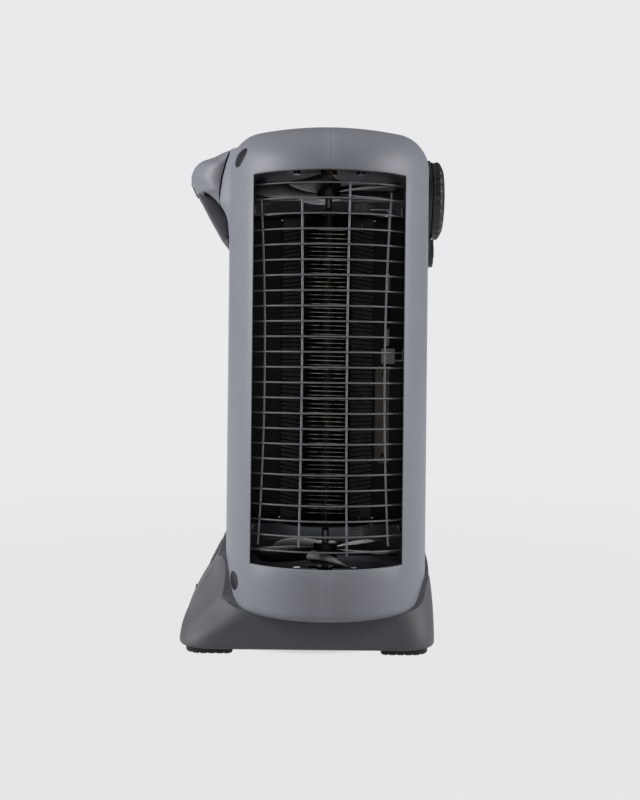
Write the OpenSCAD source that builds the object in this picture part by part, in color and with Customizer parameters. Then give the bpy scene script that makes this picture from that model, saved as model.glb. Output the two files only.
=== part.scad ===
// Fan heater with a heat outlet on each side: a tall oval body in two shells, a wire grille over
// each outlet, a hexagonal wound element between two fans on one shaft, and a flared base.
// Millimetres. X points to the front, Y across the width, Z up from the floor.

/* [Body] */
// Depth of the body at its two rounded ends
body_depth = 157; // [148:1:166]
// Width of the body from one outlet to the other
body_width = 260; // [250:1:280]
// Height of the top of the dome above the floor
body_height = 412.5; // [409:0.5:425]
// Height of the bottom of the shells above the floor
body_floor = 30; // [29:0.5:31]
// How far the front and rear faces bulge past the rounded ends
face_crown = 4; // [3:0.5:5]
// How far the dome falls from its middle to the outlet ends
dome_fall_ends = 30; // [26:1:32]
// How far the dome falls from its middle to the front and rear
dome_fall_faces = 11; // [8:1:14]
// Radius where the sides turn into the dome
top_round = 22; // [18:1:24]
// Radius round the bottom of the body
floor_round = 16; // [13:1:18]
// Wall of the shells
wall = 2.8; // [2.2:0.1:3.2]
// Gap between the two shells at the seam
seam_gap = 0.3; // [0.2:0.1:0.5]

/* [Outlets] */
// Width of each outlet, seen square on
opening_width = 114; // [104:1:118]
// Height of the lower edge of the outlets
opening_low = 69; // [66:1:74]
// How far below the top of the dome the outlets end
opening_drop = 52.5; // [52:0.5:56.5]

/* [Grilles] */
// Diameter of the bowed grille wires
wire_d = 1.4; // [1.2:0.1:1.8]
// Diameter of the upright grille wires
upright_d = 1.6; // [1.4:0.1:2]
// Number of bowed wires in each grille
wire_count = 25; // [19:1:27]
// How far the lowest bowed wire lies above the lower edge of the outlet
wire_low_rise = 10; // [8:1:14]
// How far the highest bowed wire lies below the upper edge of the outlet
wire_high_drop = 6.5; // [4:0.5:9]
// How far the wires reach past each side of the outlet
wire_overlap = 4; // [3:0.5:4.5]
// Radius that the bowed wires are bent to
grille_bow = 100; // [92:1:110]
// Distance of the inner uprights from the middle of the outlet
upright_inner = 17.6; // [14:0.2:22]
// Distance of the outer uprights from the middle of the outlet
upright_outer = 48; // [42:0.5:52]

/* [Handle] */
// How far the nose of the handle stands behind the rear face
handle_reach = 34; // [30:0.5:38]
// Width of the handle moulding
handle_width = 116; // [104:1:124]
// How far the nose of the handle lies below the top of the dome
nose_drop = 40.5; // [37.5:0.5:43.5]
// Wall of the handle moulding
handle_wall = 3; // [2.5:0.1:3.5]
// Thickness of the grip strap
strap_t = 5; // [4:0.5:6]
// Width of the grip strap at its top
strap_top_w = 52; // [44:1:60]
// Width of the grip strap where it meets the rear face
strap_low_w = 76; // [66:1:84]

/* [Base] */
// Width of the base across the outlets
base_width = 208; // [200:1:216]
// How far the base flares out behind the body
rear_flare = 30.5; // [28:0.5:31]
// How far the base flares out in front of the body
front_flare = 2.7; // [2:0.1:4]
// Height of the collar of the base behind the body
rear_collar = 76; // [72:1:80]
// Height of the collar of the base in front of the body
front_collar = 64; // [60:1:68]
// Wall of the base
base_wall = 3.4; // [3:0.1:4]
// Height of the rubber feet
foot_h = 3.7; // [3:0.1:4.5]
// Length of each rubber foot, front to back
foot_l = 36; // [28:1:40]
// Width of each rubber foot
foot_w = 17; // [14:0.5:20]

/* [Controls] */
// Diameter of the thermostat dial
dial_d = 66; // [60:1:68]
// How far the middle of the dial lies below the top of the dome
dial_drop = 54.5; // [53.5:0.5:55.5]
// Number of grip ribs round the dial
dial_ribs = 26; // [20:1:30]
// How far the face of the dial stands in front of the front face
dial_reach = 12.7; // [11:0.1:14]
// Diameter of the dial's shaft
dial_shaft_d = 6; // [5:0.5:6.5]
// How far the mode slider rests below the middle of the dial
slider_drop = 43; // [42:0.5:44]
// Travel of the mode slider to either side of rest
slider_travel = 3.5; // [3:0.1:4]

/* [Element] */
// Radius of the heating wire at the edges of the boards
wire_r = 37; // [34:0.5:39]
// Diameter of the heating wire's coil
coil_d = 1.4; // [1.1:0.1:1.6]
// Turns of the heating wire
turns = 24; // [16:1:24]
// Distance from the first and last turns to the ends of the boards
turns_margin = 11; // [8:1:16]
// Thickness of the mica boards
board_t = 0.8; // [0.6:0.1:1.2]
// Height of the underside of the boards
board_low = 88; // [87:0.5:90]
// How far the top of the boards lies below the top of the dome
board_drop = 70.5; // [68.5:0.5:72.5]
// Thickness of the sheet steel spiders
sheet_t = 1.2; // [0.8:0.1:1.5]
// Outer diameter of the core tube
core_d = 15; // [13:0.5:18]

/* [Fans] */
// Diameter of the fans
fan_d = 124; // [112:1:126]
// Blades of each fan
blade_count = 5; // [4:1:6]
// Thickness of the fan blades
blade_t = 1.2; // [1:0.1:1.6]
// Height of the middle of the lower fan
lower_fan_z = 60.5; // [59.5:0.5:61.5]
// How far the middle of the upper fan lies below the top of the dome
upper_fan_drop = 46; // [45.5:0.5:47.5]
// Diameter of the drive shaft
shaft_d = 6; // [5:0.5:7]

/* [Motor] */
// Height of the underside of the motor core
core_z = 20; // [19:0.5:20.5]
// Thickness of the motor core
core_h = 18; // [16:1:18]
// Diameter of the rotor
rotor_d = 28; // [24:1:30]

/* [Clearances] */
// Gap between pieces that seat on each other
seat_gap = 0.3; // [0.2:0.05:0.4]
// Radial clearance of running shafts
run_gap = 0.05; // [0.03:0.01:0.08]

/* [Hidden] */

$fn = 48;
eps = 0.01;
// A length past every part, for cuts that go right through
far = 600;

// Colours, as the photograph shows them
body_grey = "#8F929B";
base_grey = "#56575B";
dark = "#26272B";
plug_grey = "#3C3D47";
steel = "#A9ABAE";
sheet_grey = "#7D7F83";
mica = "#B9A98A";
ceramic = "#E6E2D8";
copper = "#A8642E";

// Heights that follow the top of the dome
opening_high = body_height - opening_drop;
wire_low = opening_low + wire_low_rise;
wire_high = opening_high - wire_high_drop;
nose_z = body_height - nose_drop;
dial_z = body_height - dial_drop;
slider_z = dial_z - slider_drop;
board_high = body_height - board_drop;
turns_low = board_low + turns_margin;
turns_high = board_high - turns_margin;
upper_fan_z = body_height - upper_fan_drop;

// The body's outline in plan
half_d = body_depth / 2;
half_w = body_width / 2;
end_shift = half_w - half_d;
crown_span = 1.45 * end_shift;
arc_steps = 8;
flat_steps = 4;
round_steps = 4;
front_x = half_d + face_crown;
wall_x = front_x - wall;

// The origin lies under the middle of the whole heater
body_x = (handle_reach - dial_reach) / 2;

// Screws that draw the shells together, seen from the rear
screw_y = half_w - 44;
screw_low = opening_low - 16.6;
screw_high = opening_high + 16;
screw_r = 2;
plug_r = 7.1;
boss_r = plug_r + 2;
recess_x = 57;

// The grille's wires lie inside the shells, on upright rails
rail_h = 1;
weld = 0.5;
wire_end = opening_width / 2 + wire_overlap;
grille_mid = end_shift + sqrt(pow(half_d - wall - rail_h - seat_gap - wire_d / 2, 2) - pow(wire_end, 2))
    - sqrt(pow(grille_bow, 2) - pow(wire_end, 2));
upright_r = grille_bow - (wire_d + upright_d) / 2 + weld;
wire_step = (wire_high - wire_low) / (wire_count - 1);
// Each upright: place across the outlet, rise of its foot over the lowest wire, drop of its top
uprights = [[-upright_outer, 3.5, wire_step - 1], [-upright_inner, 3.5, wire_step - 1],
            [upright_inner, -3, -1], [upright_outer, 3.5, wire_step / 2]];

// Heat shields inside the front and rear faces
shield_x = 64;
shield_t = 0.8;
shield_half = 54;
shield_low = board_low - 12;
shield_high = board_high + 8;

// The base: plan and side profile
flare_low = 5;
flare_span = 85;
collar_skin = 3;
base_crown = 2.5;
base_corner = 25;
side_lean = 0.2;
rim = body_floor + 1;
deck_t = 2.5;
deck_z = body_floor - seat_gap - deck_t;
plate_t = 2.5;
plate_top = foot_h + plate_t;
inlet_r = fan_d / 2 - 4;

// The spiders' arms end just short of the shields
arm_w = 18;
tab_h = 10;
arm_x = shield_x - shield_t / 2 - seat_gap;

// The thermostat and mode switch stand behind the bezel
bezel_back = wall_x + 1;
bezel_face = front_x + 1.9;
dial_back = bezel_face + 0.4;
dial_face = front_x + dial_reach;

// Heights along the drive shaft
bearing_bar = 3;
bearing_lift = 4;
top_bar_z = upper_fan_z + 15.5;
terminal_a = -30;
terminal_r = wire_r * cos(30);
terminal_h = 8.8;

module placed() {
    translate([body_x, 0, 0])
        children();
}

// How far the front and rear faces bulge at a place across the width
function crown_at(y) = abs(y) < crown_span ? face_crown * (1 + cos(180 * y / crown_span)) / 2 : 0;

// Front half of the body's outline, drawn in by inset, from one end to the other
function half_outline(inset) =
    let (r = half_d - inset)
    concat(
        [for (i = [0:arc_steps]) let (a = -90 + 90 * i / arc_steps, y = -end_shift + r * sin(a))
            [r * cos(a) + crown_at(y), y]],
        [for (i = [1:flat_steps - 1]) let (y = end_shift * (2 * i / flat_steps - 1))
            [r + crown_at(y), y]],
        [for (i = [0:arc_steps]) let (a = 90 * i / arc_steps, y = end_shift + r * sin(a))
            [r * cos(a) + crown_at(y), y]]);

// The whole outline: the front half, then its mirror image back to the start
function outline(inset) =
    let (h = half_outline(inset), m = len(h) - 1)
    concat(h, [for (k = [m - 1:-1:1]) [-h[k][0], h[k][1]]]);

function dome(p, grow) =
    body_height + grow - dome_fall_ends * pow(p[1] / half_w, 2)
    - dome_fall_faces * pow(p[0] / half_d, 2);

// Side faces of a solid made of m rings of n points each
function ring_faces(n, m) =
    [for (k = [0:m - 2], i = [0:n - 1]) let (j = (i + 1) % n)
        each [[k * n + i, (k + 1) * n + i, (k + 1) * n + j], [k * n + i, (k + 1) * n + j, k * n + j]]];

// Strips that close a ring of n points whose second half mirrors the first
function strip_faces(n, start, up) =
    [for (k = [0:n / 2 - 1])
        let (p = start + k, p2 = start + k + 1, q = start + (n - k) % n, q2 = start + n - k - 1)
        each (up ? [[p, q, q2], [p, q2, p2]] : [[p, q2, q], [p, p2, q2]])];

// Drops the strip triangles that have two corners in one place
function whole(faces) = [for (f = faces) if (f[0] != f[1] && f[1] != f[2] && f[0] != f[2]) f];

// A solid through a list of rings, with flat ends
module loft(rings) {
    n = len(rings[0]);
    m = len(rings);
    polyhedron(
        points = [for (ring = rings) each ring],
        faces = concat(
            ring_faces(n, m),
            [[for (i = [0:n - 1]) i]],
            [[for (i = [n - 1:-1:0]) (m - 1) * n + i]]));
}

// The body's outer form, grown all round by grow, with its rounded foot and dome
module body_form(grow) {
    rf = floor_round + grow;
    rt = top_round + grow;
    n = len(outline(0));
    foot = [for (i = [round_steps:-1:0]) let (a = 90 * i / round_steps)
        [for (p = outline(rf * (1 - cos(a)) - grow)) [p[0], p[1], body_floor - grow + rf * (1 - sin(a))]]];
    edge = [for (i = [0:round_steps]) let (a = 90 * i / round_steps)
        [for (p = outline(rt * (1 - cos(a)) - grow)) [p[0], p[1], dome(p, grow) - rt * (1 - sin(a))]]];
    crest = [for (s = [0.5, 0.75, 0.97])
        [for (p = outline(half_d * s)) [p[0], p[1], dome(p, grow)]]];
    rings = concat(foot, edge, crest);
    m = len(rings);
    polyhedron(
        points = [for (ring = rings) each ring],
        faces = whole(concat(ring_faces(n, m), strip_faces(n, 0, false), strip_faces(n, (m - 1) * n, true))));
}

// A cylinder along X from x0 to x1
module rod_x(x0, x1, r) {
    translate([x0, 0, 0])
        rotate([0, 90, 0])
            cylinder(h = x1 - x0, r = r);
}

// A block between two corners
module block(low, high) {
    translate(low)
        cube(high - low);
}

module at_screws() {
    for (side = [-1, 1], z = [screw_low, screw_high])
        translate([0, side * screw_y, z])
            children();
}

// Upright rails at the sides of both outlets, on the side of the body that facing names
module rails(facing) {
    inner = half_d - wall;
    for (side = [-1, 1])
        intersection() {
            translate([0, side * end_shift, opening_low - 8])
                difference() {
                    cylinder(h = opening_high - opening_low + 14, r = inner + 0.4, $fn = 96);
                    translate([0, 0, -1])
                        cylinder(h = far, r = inner - rail_h, $fn = 96);
                }
            rail_x = facing * (opening_width / 2 + 3.5);
            block([rail_x - 1.5, side > 0 ? end_shift : -half_w, 0],
                  [rail_x + 1.5, side > 0 ? half_w : -end_shift, far]);
        }
}

// Wall of one half of the body; facing is 1 for the front and -1 for the rear
module shell_wall(facing) {
    difference() {
        body_form(0);
        body_form(-wall);
        block([facing > 0 ? -far : -seam_gap / 2, -far, -far],
              [facing > 0 ? seam_gap / 2 : far, far, far]);
        block([-opening_width / 2, -far, opening_low], [opening_width / 2, far, opening_high]);
        translate([0, 0, -1])
            cylinder(h = body_floor + wall + 3, r = inlet_r, $fn = 96);
    }
}

// Roof post that the top bracket hangs from
module roof_post(facing) {
    translate([facing * post_x, 0, top_bar_z + sheet_t])
        cylinder(h = far, r = 4);
}
post_x = 27;

// Blind hole in a roof post for the bracket's screw
module post_hole(facing) {
    translate([facing * post_x, 0, top_bar_z])
        cylinder(h = 12, r = 1.6);
}

// Standoffs that carry a heat shield
module shield_feet(facing) {
    for (y = [-30, 30], z = [shield_low + 14, shield_high - 44])
        translate([0, y, z])
            mirror([facing > 0 ? 0 : 1, 0, 0])
                rod_x(shield_x + shield_t / 2 + eps, far, 3.5);
}

module front_shell() {
    color(body_grey) placed() {
        difference() {
            union() {
                shell_wall(1);
                rails(1);
                intersection() {
                    union() {
                        at_screws()
                            rod_x(seam_gap / 2, far / 4, screw_r + 3);
                        roof_post(1);
                        shield_feet(1);
                    }
                    body_form(-wall / 2);
                }
            }
            at_screws()
                rod_x(-1, 26, screw_r - 0.35);
            post_hole(1);
            bezel_window();
            vent_bars(1, 14);
        }
    }
}

module rear_shell() {
    color(body_grey) placed() {
        difference() {
            union() {
                shell_wall(-1);
                rails(-1);
                intersection() {
                    union() {
                        at_screws() {
                            rod_x(-far / 4, -seam_gap / 2, screw_r + 3);
                            rod_x(-far / 4, 2 - recess_x, boss_r);
                        }
                        roof_post(-1);
                        shield_feet(-1);
                    }
                    body_form(-wall / 2);
                }
            }
            at_screws() {
                rod_x(-far / 4, -recess_x, plug_r + 0.2);
                rod_x(-far / 4, 1, screw_r + 0.2);
            }
            post_hole(-1);
            block([-far, -tray_half - wall - seat_gap, tray_low - wall - seat_gap],
                  [-half_d + 10, tray_half + wall + seat_gap, tray_high + wall + seat_gap]);
            vent_bars(-1, 14);
            intake_slots();
            at_handle_screw(-45)
                cylinder(h = 45, r = 1.7);
        }
    }
}

// Air intake in the rear face, behind the shield
module intake_slots() {
    for (i = [0:7])
        block([-far, -intake_half, intake_low + 11 * i], [-half_d + 4, intake_half, intake_low + 11 * i + 4]);
}
intake_half = 45;
intake_low = nose_z - 157;

module casing_screws() {
    color(steel) placed()
        at_screws() {
            rod_x(-recess_x, 22, screw_r - 0.36);
            rod_x(-recess_x - 2.6, -recess_x, 3.6);
        }
}

// Plugs with a flat face that lies along the surface round them
module screw_plugs() {
    reach = screw_y - end_shift;
    turn = asin(reach / half_d);
    color(plug_grey) placed()
        for (side = [-1, 1], up = [0, 1])
            intersection() {
                translate([0, side * screw_y, up == 1 ? screw_high : screw_low])
                    rod_x(-far / 4, -recess_x - 3, plug_r);
                translate([-half_d * cos(turn) + 1.3 * up, side * screw_y, up == 1 ? screw_high : screw_low])
                    rotate([0, 0, 180 - side * turn])
                        rotate([0, -19 * up, 0])
                            block([-20.5, -30, -30], [-0.5, 30, 30]);
            }
}

// The handle's side profile at the middle: distance behind the rounded ends, then height
function handle_profile() = [
    [-16.5, nose_z + 20], [-7, nose_z + 30], [2.5, nose_z + 28.5], [13.5, nose_z + 24.5], [24, nose_z + 19.8],
    [31.5, nose_z + 15], [36, nose_z + 9], [handle_reach + face_crown, nose_z],
    [37, nose_z - 7], [34, nose_z - 13], [24.5, nose_z - 14.5], [16.5, nose_z - 18.5],
    [10, nose_z - 27.5], [3.5, nose_z - 39], [-6, nose_z - 56], [-16.5, nose_z - 56]];

// The part of the handle's reach that is left at a place across its width
function handle_share(y) =
    let (t = min(1, abs(y) / (handle_width / 2)))
    0.25 + 0.75 * pow(1 - pow(t, 3.2), 0.55);

// The handle's full form: its top line falls with the dome towards the sides
module handle_form() {
    half = handle_width / 2;
    places = [-1, -0.97, -0.9, -0.76, -0.52, -0.21, 0.22, 0.53, 0.77, 0.9, 0.97, 1];
    loft([for (s = places)
        let (share = handle_share(s * half), fall = dome_fall_ends * pow(s * half / half_w, 2) / 33)
        [for (p = handle_profile())
            [-half_d - (p[0] > 0 ? p[0] * share : p[0]), s * half,
             p[1] - fall * max(0, p[1] - nose_z)]]]);
}

// The groove between the handle and the rear shell leans back towards the bottom
module groove_side(gap) {
    rotate([90, 0, 0])
        linear_extrude(height = far, center = true)
            polygon([[-half_d - 5.6 - gap, nose_z + 6 + gap], [-half_d - 7.2 - gap, nose_z],
                     [-half_d - 10.5 - gap, nose_z - 22], [-half_d - 12 - gap, nose_z - 90],
                     [-half_d + 60, nose_z - 90], [-half_d + 60, nose_z + 6 + gap]]);
}

// Inner half of the handle, screwed against the rear face, with the finger room through it
module handle_inner() {
    color(body_grey) placed()
        difference() {
            intersection() {
                inner_plan();
                rotate([90, 0, 0])
                    linear_extrude(height = far, center = true)
                        polygon([[-half_d + 5, nose_z + 6], [-half_d - 5.6, nose_z + 6],
                                 [-half_d - 7.2, nose_z], [-half_d - 10.5, nose_z - 22],
                                 [-half_d - 10.6, nose_z - 26], [-half_d - 8, nose_z - 30],
                                 [-half_d - 2.5, nose_z - 41], [-half_d + 5, nose_z - 54]]);
            }
            finger_room();
            at_handle_screw(-45)
                cylinder(h = 45, r = 1.7);
        }
}

// Seen from above, the inner half follows the rear face on one side
module inner_plan() {
    half = handle_width / 2 - 0.5;
    linear_extrude(height = nose_z + 20)
        polygon(concat(
            [for (i = [-6:6]) let (y = half * i / 6) [-half_d - crown_at(y) - seat_gap, y]],
            [[-half_d - 8, half], [-half_d - 20, half - 5], [-half_d - 20, 5 - half],
             [-half_d - 8, -half]]));
}

module rear_handle() {
    color(body_grey) placed()
        difference() {
            handle_form();
            groove_side(0.5);
            body_form(seat_gap);
            finger_scoop();
            at_handle_screw(-plug_depth)
                cylinder(h = far, r = plug_r + 0.2);
            at_handle_screw(-60)
                cylinder(h = far, r = screw_r + 0.2);
        }
}
plug_depth = 3;
screw_depth = 37;

// Hollow inside the handle, open below for the fingers
module finger_scoop() {
    half = handle_width / 2 - 9;
    rotate([90, 0, 0])
        linear_extrude(height = 2 * half, center = true)
            polygon([[-half_d + 10, nose_z + 20], [-half_d - 10, nose_z + 14], [-half_d - 22, nose_z + 7],
                     [-half_d - 27, nose_z - 2], [-half_d - 26, nose_z - 30],
                     [-half_d + 10, nose_z - 90]]);
}

// The screw's line, square to the slanted nose of the handle; z counts outwards from the nose
module at_handle_screw(z) {
    translate([-half_d - handle_reach - face_crown + 3.5, 0, nose_z - 7])
        rotate([0, plug_tilt, 0])
            translate([0, 0, z])
                children();
}
plug_tilt = -114;

module handle_plug() {
    color(plug_grey) placed()
        at_handle_screw(-1.8)
            cylinder(h = 2.4, r = plug_r);
}

module handle_screw() {
    color(steel) placed() {
        at_handle_screw(-plug_depth)
            cylinder(h = 1, r = 3.6);
        at_handle_screw(-screw_depth)
            cylinder(h = screw_depth - plug_depth + eps, r = 1.65);
    }
}

// Fingers pass behind the strap: the space cut into the rear face
tray_depth = 13;
tray_half = 42;
tray_low = nose_z - 52;
tray_high = nose_z - 6;
module finger_room() {
    block([-far / 2, -tray_half, tray_low], [-front_x + tray_depth, tray_half, tray_high]);
}

// Well round that space: a cup set into the rear shell, flush with its face
module grip_well() {
    half = tray_half + wall;
    color(body_grey) placed()
        difference() {
            translate([0, 0, tray_low - wall])
                linear_extrude(height = tray_high - tray_low + 2 * wall)
                    polygon(concat(
                        [for (i = [-6:6]) let (y = half * i / 6) [-half_d - crown_at(y), y]],
                        [[-front_x + tray_depth + wall, half], [-front_x + tray_depth + wall, -half]]));
            finger_room();
        }
}

// Strap from under the nose down to the rear face: outer and inner edge at each station, and its
// share of the way from the narrow top to the wide foot
strap_stations = [
    [handle_reach - 2, -13.6, 0],
    [handle_reach - 7, -23, 0.25],
    [handle_reach - 13, -35, 0.5],
    [handle_reach - 19, -44.5, 0.75],
    [face_crown + seat_gap + strap_t * 0.9, -54, 1]];

module grip_strap() {
    color(base_grey) placed()
        loft([for (s = strap_stations)
            let (x = -half_d - s[0], z = nose_z + s[1], rise = s[2] == 0 ? -0.12 : 0.45,
                 w = strap_top_w / 2 + (strap_low_w - strap_top_w) / 2 * s[2])
            [[x, -w, z], [x, w, z], [x + strap_t * 0.9, w, z + strap_t * rise],
             [x + strap_t * 0.9, -w, z + strap_t * rise]]]);
}

// One side's grille, turned half round for the other side; side is 1 for the left and -1 for the right
module grille(side) {
    reach = asin(wire_end / grille_bow);
    translate([0, side * grille_mid, 0]) {
        for (i = [0:wire_count - 1])
            translate([0, 0, wire_low + i * wire_step])
                rotate([0, 0, side * 90 - reach])
                    rotate_extrude(angle = 2 * reach, $fn = 96)
                        translate([grille_bow, 0])
                            circle(d = wire_d, $fn = 16);
        for (u = uprights)
            translate([-side * u[0], side * sqrt(pow(upright_r, 2) - pow(u[0], 2)), wire_low + u[1]])
                cylinder(h = wire_high - u[2] - wire_low - u[1], d = upright_d, $fn = 20);
    }
}

module right_grille() {
    color(steel) placed()
        grille(-1);
}

module left_grille() {
    color(steel) placed()
        grille(1);
}

// Sheet shield with its edges turned in towards the outlets
module heat_shield(facing) {
    t = shield_t / 2;
    mirror([facing > 0 ? 0 : 1, 0, 0])
        translate([0, 0, shield_low])
            linear_extrude(height = shield_high - shield_low)
                polygon([[shield_x - t, -shield_half], [shield_x - 5 - t, -shield_half - 18],
                         [shield_x - 5 + t, -shield_half - 18.4], [shield_x + t, -shield_half],
                         [shield_x + t, shield_half], [shield_x - 5 + t, shield_half + 18.4],
                         [shield_x - 5 - t, shield_half + 18], [shield_x - t, shield_half]]);
}

module front_heat_shield() {
    color(sheet_grey) placed()
        heat_shield(1);
}

module rear_heat_shield() {
    color(sheet_grey) placed()
        heat_shield(-1);
}

// Sheet that closes the space between the winding and a shield, with a flange folded along the
// shield; it stands off the middle so that its edge reaches in behind the widest place of the winding
module baffle(facing) {
    t = baffle_t / 2;
    near = wire_r - 3;
    wall_at = shield_x - shield_t / 2;
    color(sheet_grey) placed()
        mirror([facing > 0 ? 0 : 1, 0, 0])
            translate([0, baffle_y, board_low + seat_gap])
                linear_extrude(height = board_high - board_low - 2 * seat_gap)
                    polygon([[near, -t], [wall_at, -t], [wall_at, 8], [wall_at - baffle_t, 8],
                             [wall_at - baffle_t, t], [near, t]]);
}
baffle_t = 0.8;
baffle_y = 10;

module front_baffle() {
    baffle(1);
}

module rear_baffle() {
    baffle(-1);
}

// Insulating card on the near face of the front baffle, where the wiring passes
module wiring_guard() {
    low = board_low + 47;
    high = board_high - 124;
    color(mica) placed()
        translate([0, baffle_y - baffle_t / 2, 0])
            rotate([90, 0, 0])
                linear_extrude(height = 1)
                    difference() {
                        polygon([[41.5, low + 3], [41.5, high - 3], [44.5, high], [53.4, high],
                                 [53.4, low], [44.5, low]]);
                        for (z = [low + 7, high - 7])
                            translate([48.5, z])
                                circle(r = 1.7);
                    }
}

// How far the base stands behind and in front of the rounded ends at a height
function ease(z) = z < flare_low ? 1 : (1 + cos(180 * min(1, (z - flare_low) / flare_span))) / 2;
function rear_out(z) = half_d + collar_skin + rear_flare * ease(z);
function front_out(z) = half_d + collar_skin + front_flare * ease(z);

function bulge(y, half) = abs(y) < half ? base_crown * (1 + cos(180 * y / half)) / 2 : 0;

// The base's outline in plan at a height, drawn in by inset
function base_ring(z, inset) =
    let (xf = front_out(z) - inset, xr = -rear_out(z) + inset,
         h = base_width / 2 - side_lean * (z - foot_h) - inset, r = base_corner - inset, hc = h - r)
    concat(
        [for (i = [0:6]) let (a = -90 + 15 * i) [xf - r + r * cos(a), -hc + r * sin(a), z]],
        [for (i = [1:5]) let (y = -hc + 2 * hc * i / 6) [xf + bulge(y, hc), y, z]],
        [for (i = [0:6]) let (a = 15 * i) [xf - r + r * cos(a), hc + r * sin(a), z]],
        [for (i = [0:6]) let (a = 90 + 15 * i) [xr + r + r * cos(a), hc + r * sin(a), z]],
        [for (i = [1:5]) let (y = hc - 2 * hc * i / 6) [xr - bulge(y, hc), y, z]],
        [for (i = [0:6]) let (a = 180 + 15 * i) [xr + r + r * cos(a), -hc + r * sin(a), z]]);

module base_form(grow) {
    loft(concat(
        [base_ring(foot_h, 3 - grow), base_ring(foot_h + 1.2, 1 - grow)],
        [for (z = [8, 16, 24, 33, 42, 51, 60, 69, 80]) base_ring(z, -grow)]));
}

// Hills that bound the collar: high at the middle of the front and rear, low at the outlets
module collar_hill(facing, peak) {
    span = base_width / 2 - base_corner + 3;
    hill = [for (i = [-10:10]) let (y = span * i / 10) [y, rim + (peak - rim) * (1 + cos(18 * i)) / 2]];
    mirror([facing > 0 ? 0 : 1, 0, 0])
        rotate([90, 0, 90])
            linear_extrude(height = far)
                polygon(concat([[-far, -far], [-far, rim]], hill, [[far, rim], [far, -far]]));
}

module base_hollow() {
    difference() {
        loft([for (z = [foot_h - 1, 8, 16, 24, deck_z]) base_ring(z, base_wall)]);
        for (x = [-84, 62], y = [-70, 70])
            translate([x, y, plate_top])
                cylinder(h = far, r = 5);
    }
}

module base_housing() {
    color(base_grey) placed()
        difference() {
            intersection() {
                base_form(0);
                union() {
                    collar_hill(1, front_collar);
                    collar_hill(-1, rear_collar);
                }
            }
            body_form(seat_gap);
            base_hollow();
            cylinder(h = far, r = inlet_r, $fn = 96);
            vent_window(1, 0);
            vent_window(-1, 0);
            for (x = [-84, 62], y = [-70, 70])
                translate([x, y, 0])
                    cylinder(h = 20, r = 1.7);
            translate([-far / 4, gland_y, gland_z])
                rod_x(0, far / 4 - half_d, 6.3);
        }
}

module base_plate() {
    color(base_grey) placed() {
        difference() {
            translate([0, 0, foot_h])
                linear_extrude(height = plate_t)
                    polygon([for (p = base_ring(foot_h + 3, base_wall + seat_gap)) [p[0], p[1]]]);
            for (i = [-5:5])
                block([-34, i * 9 - 2, 0], [34, i * 9 + 2, far]);
            for (x = [-84, 62], y = [-70, 70])
                translate([x, y, 0]) {
                    cylinder(h = 20, r = 2.2);
                    translate([0, 0, foot_h - 1])
                        cylinder(h = 2, r = 4);
                }
            translate([tip_x, tip_y, 0])
                cylinder(h = 20, r = plunger_r + run_gap);
        }
        for (x = [-25, 25], y = [-19, 37])
            translate([x, y, plate_top - eps])
                cylinder(h = core_z - plate_top + eps, r = 4.5);
    }
}
tip_x = -58;
tip_y = -52;
plunger_r = 4;

module base_screws() {
    color(steel) placed()
        for (x = [-84, 62], y = [-70, 70])
            translate([x, y, foot_h]) {
                translate([0, 0, -0.8])
                    cylinder(h = 1.8, r = 3.6);
                cylinder(h = 14, r = 1.65);
            }
}

module rubber_feet() {
    color(dark) placed()
        linear_extrude(height = foot_h)
            intersection() {
                polygon([for (p = base_ring(foot_h, 6)) [p[0], p[1]]]);
                for (x = [-rear_out(foot_h) + 6, front_out(foot_h) - 6 - foot_l],
                     y = [-base_width / 2 + 4, base_width / 2 - 4 - foot_w])
                    translate([x, y])
                        square([foot_l, foot_w]);
            }
}

// Stadium-shaped window through the collar of the base
vent_front = [41, 56];
vent_rear = [53, 68];
function vent_span(facing) = facing > 0 ? vent_front : vent_rear;
module vent_window(facing, inset) {
    span = vent_span(facing);
    r = (span[1] - span[0]) / 2 - inset;
    half = 20 - r - inset;
    mirror([facing > 0 ? 0 : 1, 0, 0])
        translate([half_d - 4, 0, (span[0] + span[1]) / 2])
            rotate([90, 0, 90])
                linear_extrude(height = 60)
                    union() {
                        square([2 * half, 2 * r], center = true);
                        translate([-half, 0])
                            circle(r = r);
                        translate([half, 0])
                            circle(r = r);
                    }
}

// A patch of the base's skin round a vent, from a flat back to just proud of the surface
module skin_patch(facing, proud) {
    span = vent_span(facing);
    back = front_x + seat_gap;
    mirror([facing > 0 ? 0 : 1, 0, 0])
        loft([for (z = [span[0] - 2, span[0] + 5, span[1] - 5, span[1] + 2])
            let (hc = base_width / 2 - side_lean * (z - foot_h) - base_corner,
                 x = (facing > 0 ? front_out(z) : rear_out(z)) + proud)
            concat([[back, -24, z]], [for (y = [-24:8:24]) [x + bulge(y, hc), y, z]], [[back, 24, z]])]);
}

module vent_insert(facing) {
    span = vent_span(facing);
    difference() {
        intersection() {
            skin_patch(facing, 0.6);
            vent_window(facing, seat_gap);
        }
        vent_bars(facing, 14);
    }
}

module vent_bars(facing, half) {
    span = vent_span(facing);
    for (z = [span[0] + 3:3.5:span[1] - 4])
        block([facing > 0 ? half_d - 8 : -far, -half, z], [facing > 0 ? far : 8 - half_d, half, z + 1.6]);
}

module front_vent() {
    color(dark) placed()
        vent_insert(1);
}

module rear_vent() {
    color(dark) placed()
        vent_insert(-1);
}

gland_y = 46;
gland_z = 16.5;
module cord_gland() {
    out = rear_out(gland_z);
    color(dark) placed()
        translate([0, gland_y, gland_z])
            difference() {
                rod_x(-out - 3.5, -out + 9, 6);
                rod_x(-out - 6, -out + 12, 3.3);
            }
}

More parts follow.
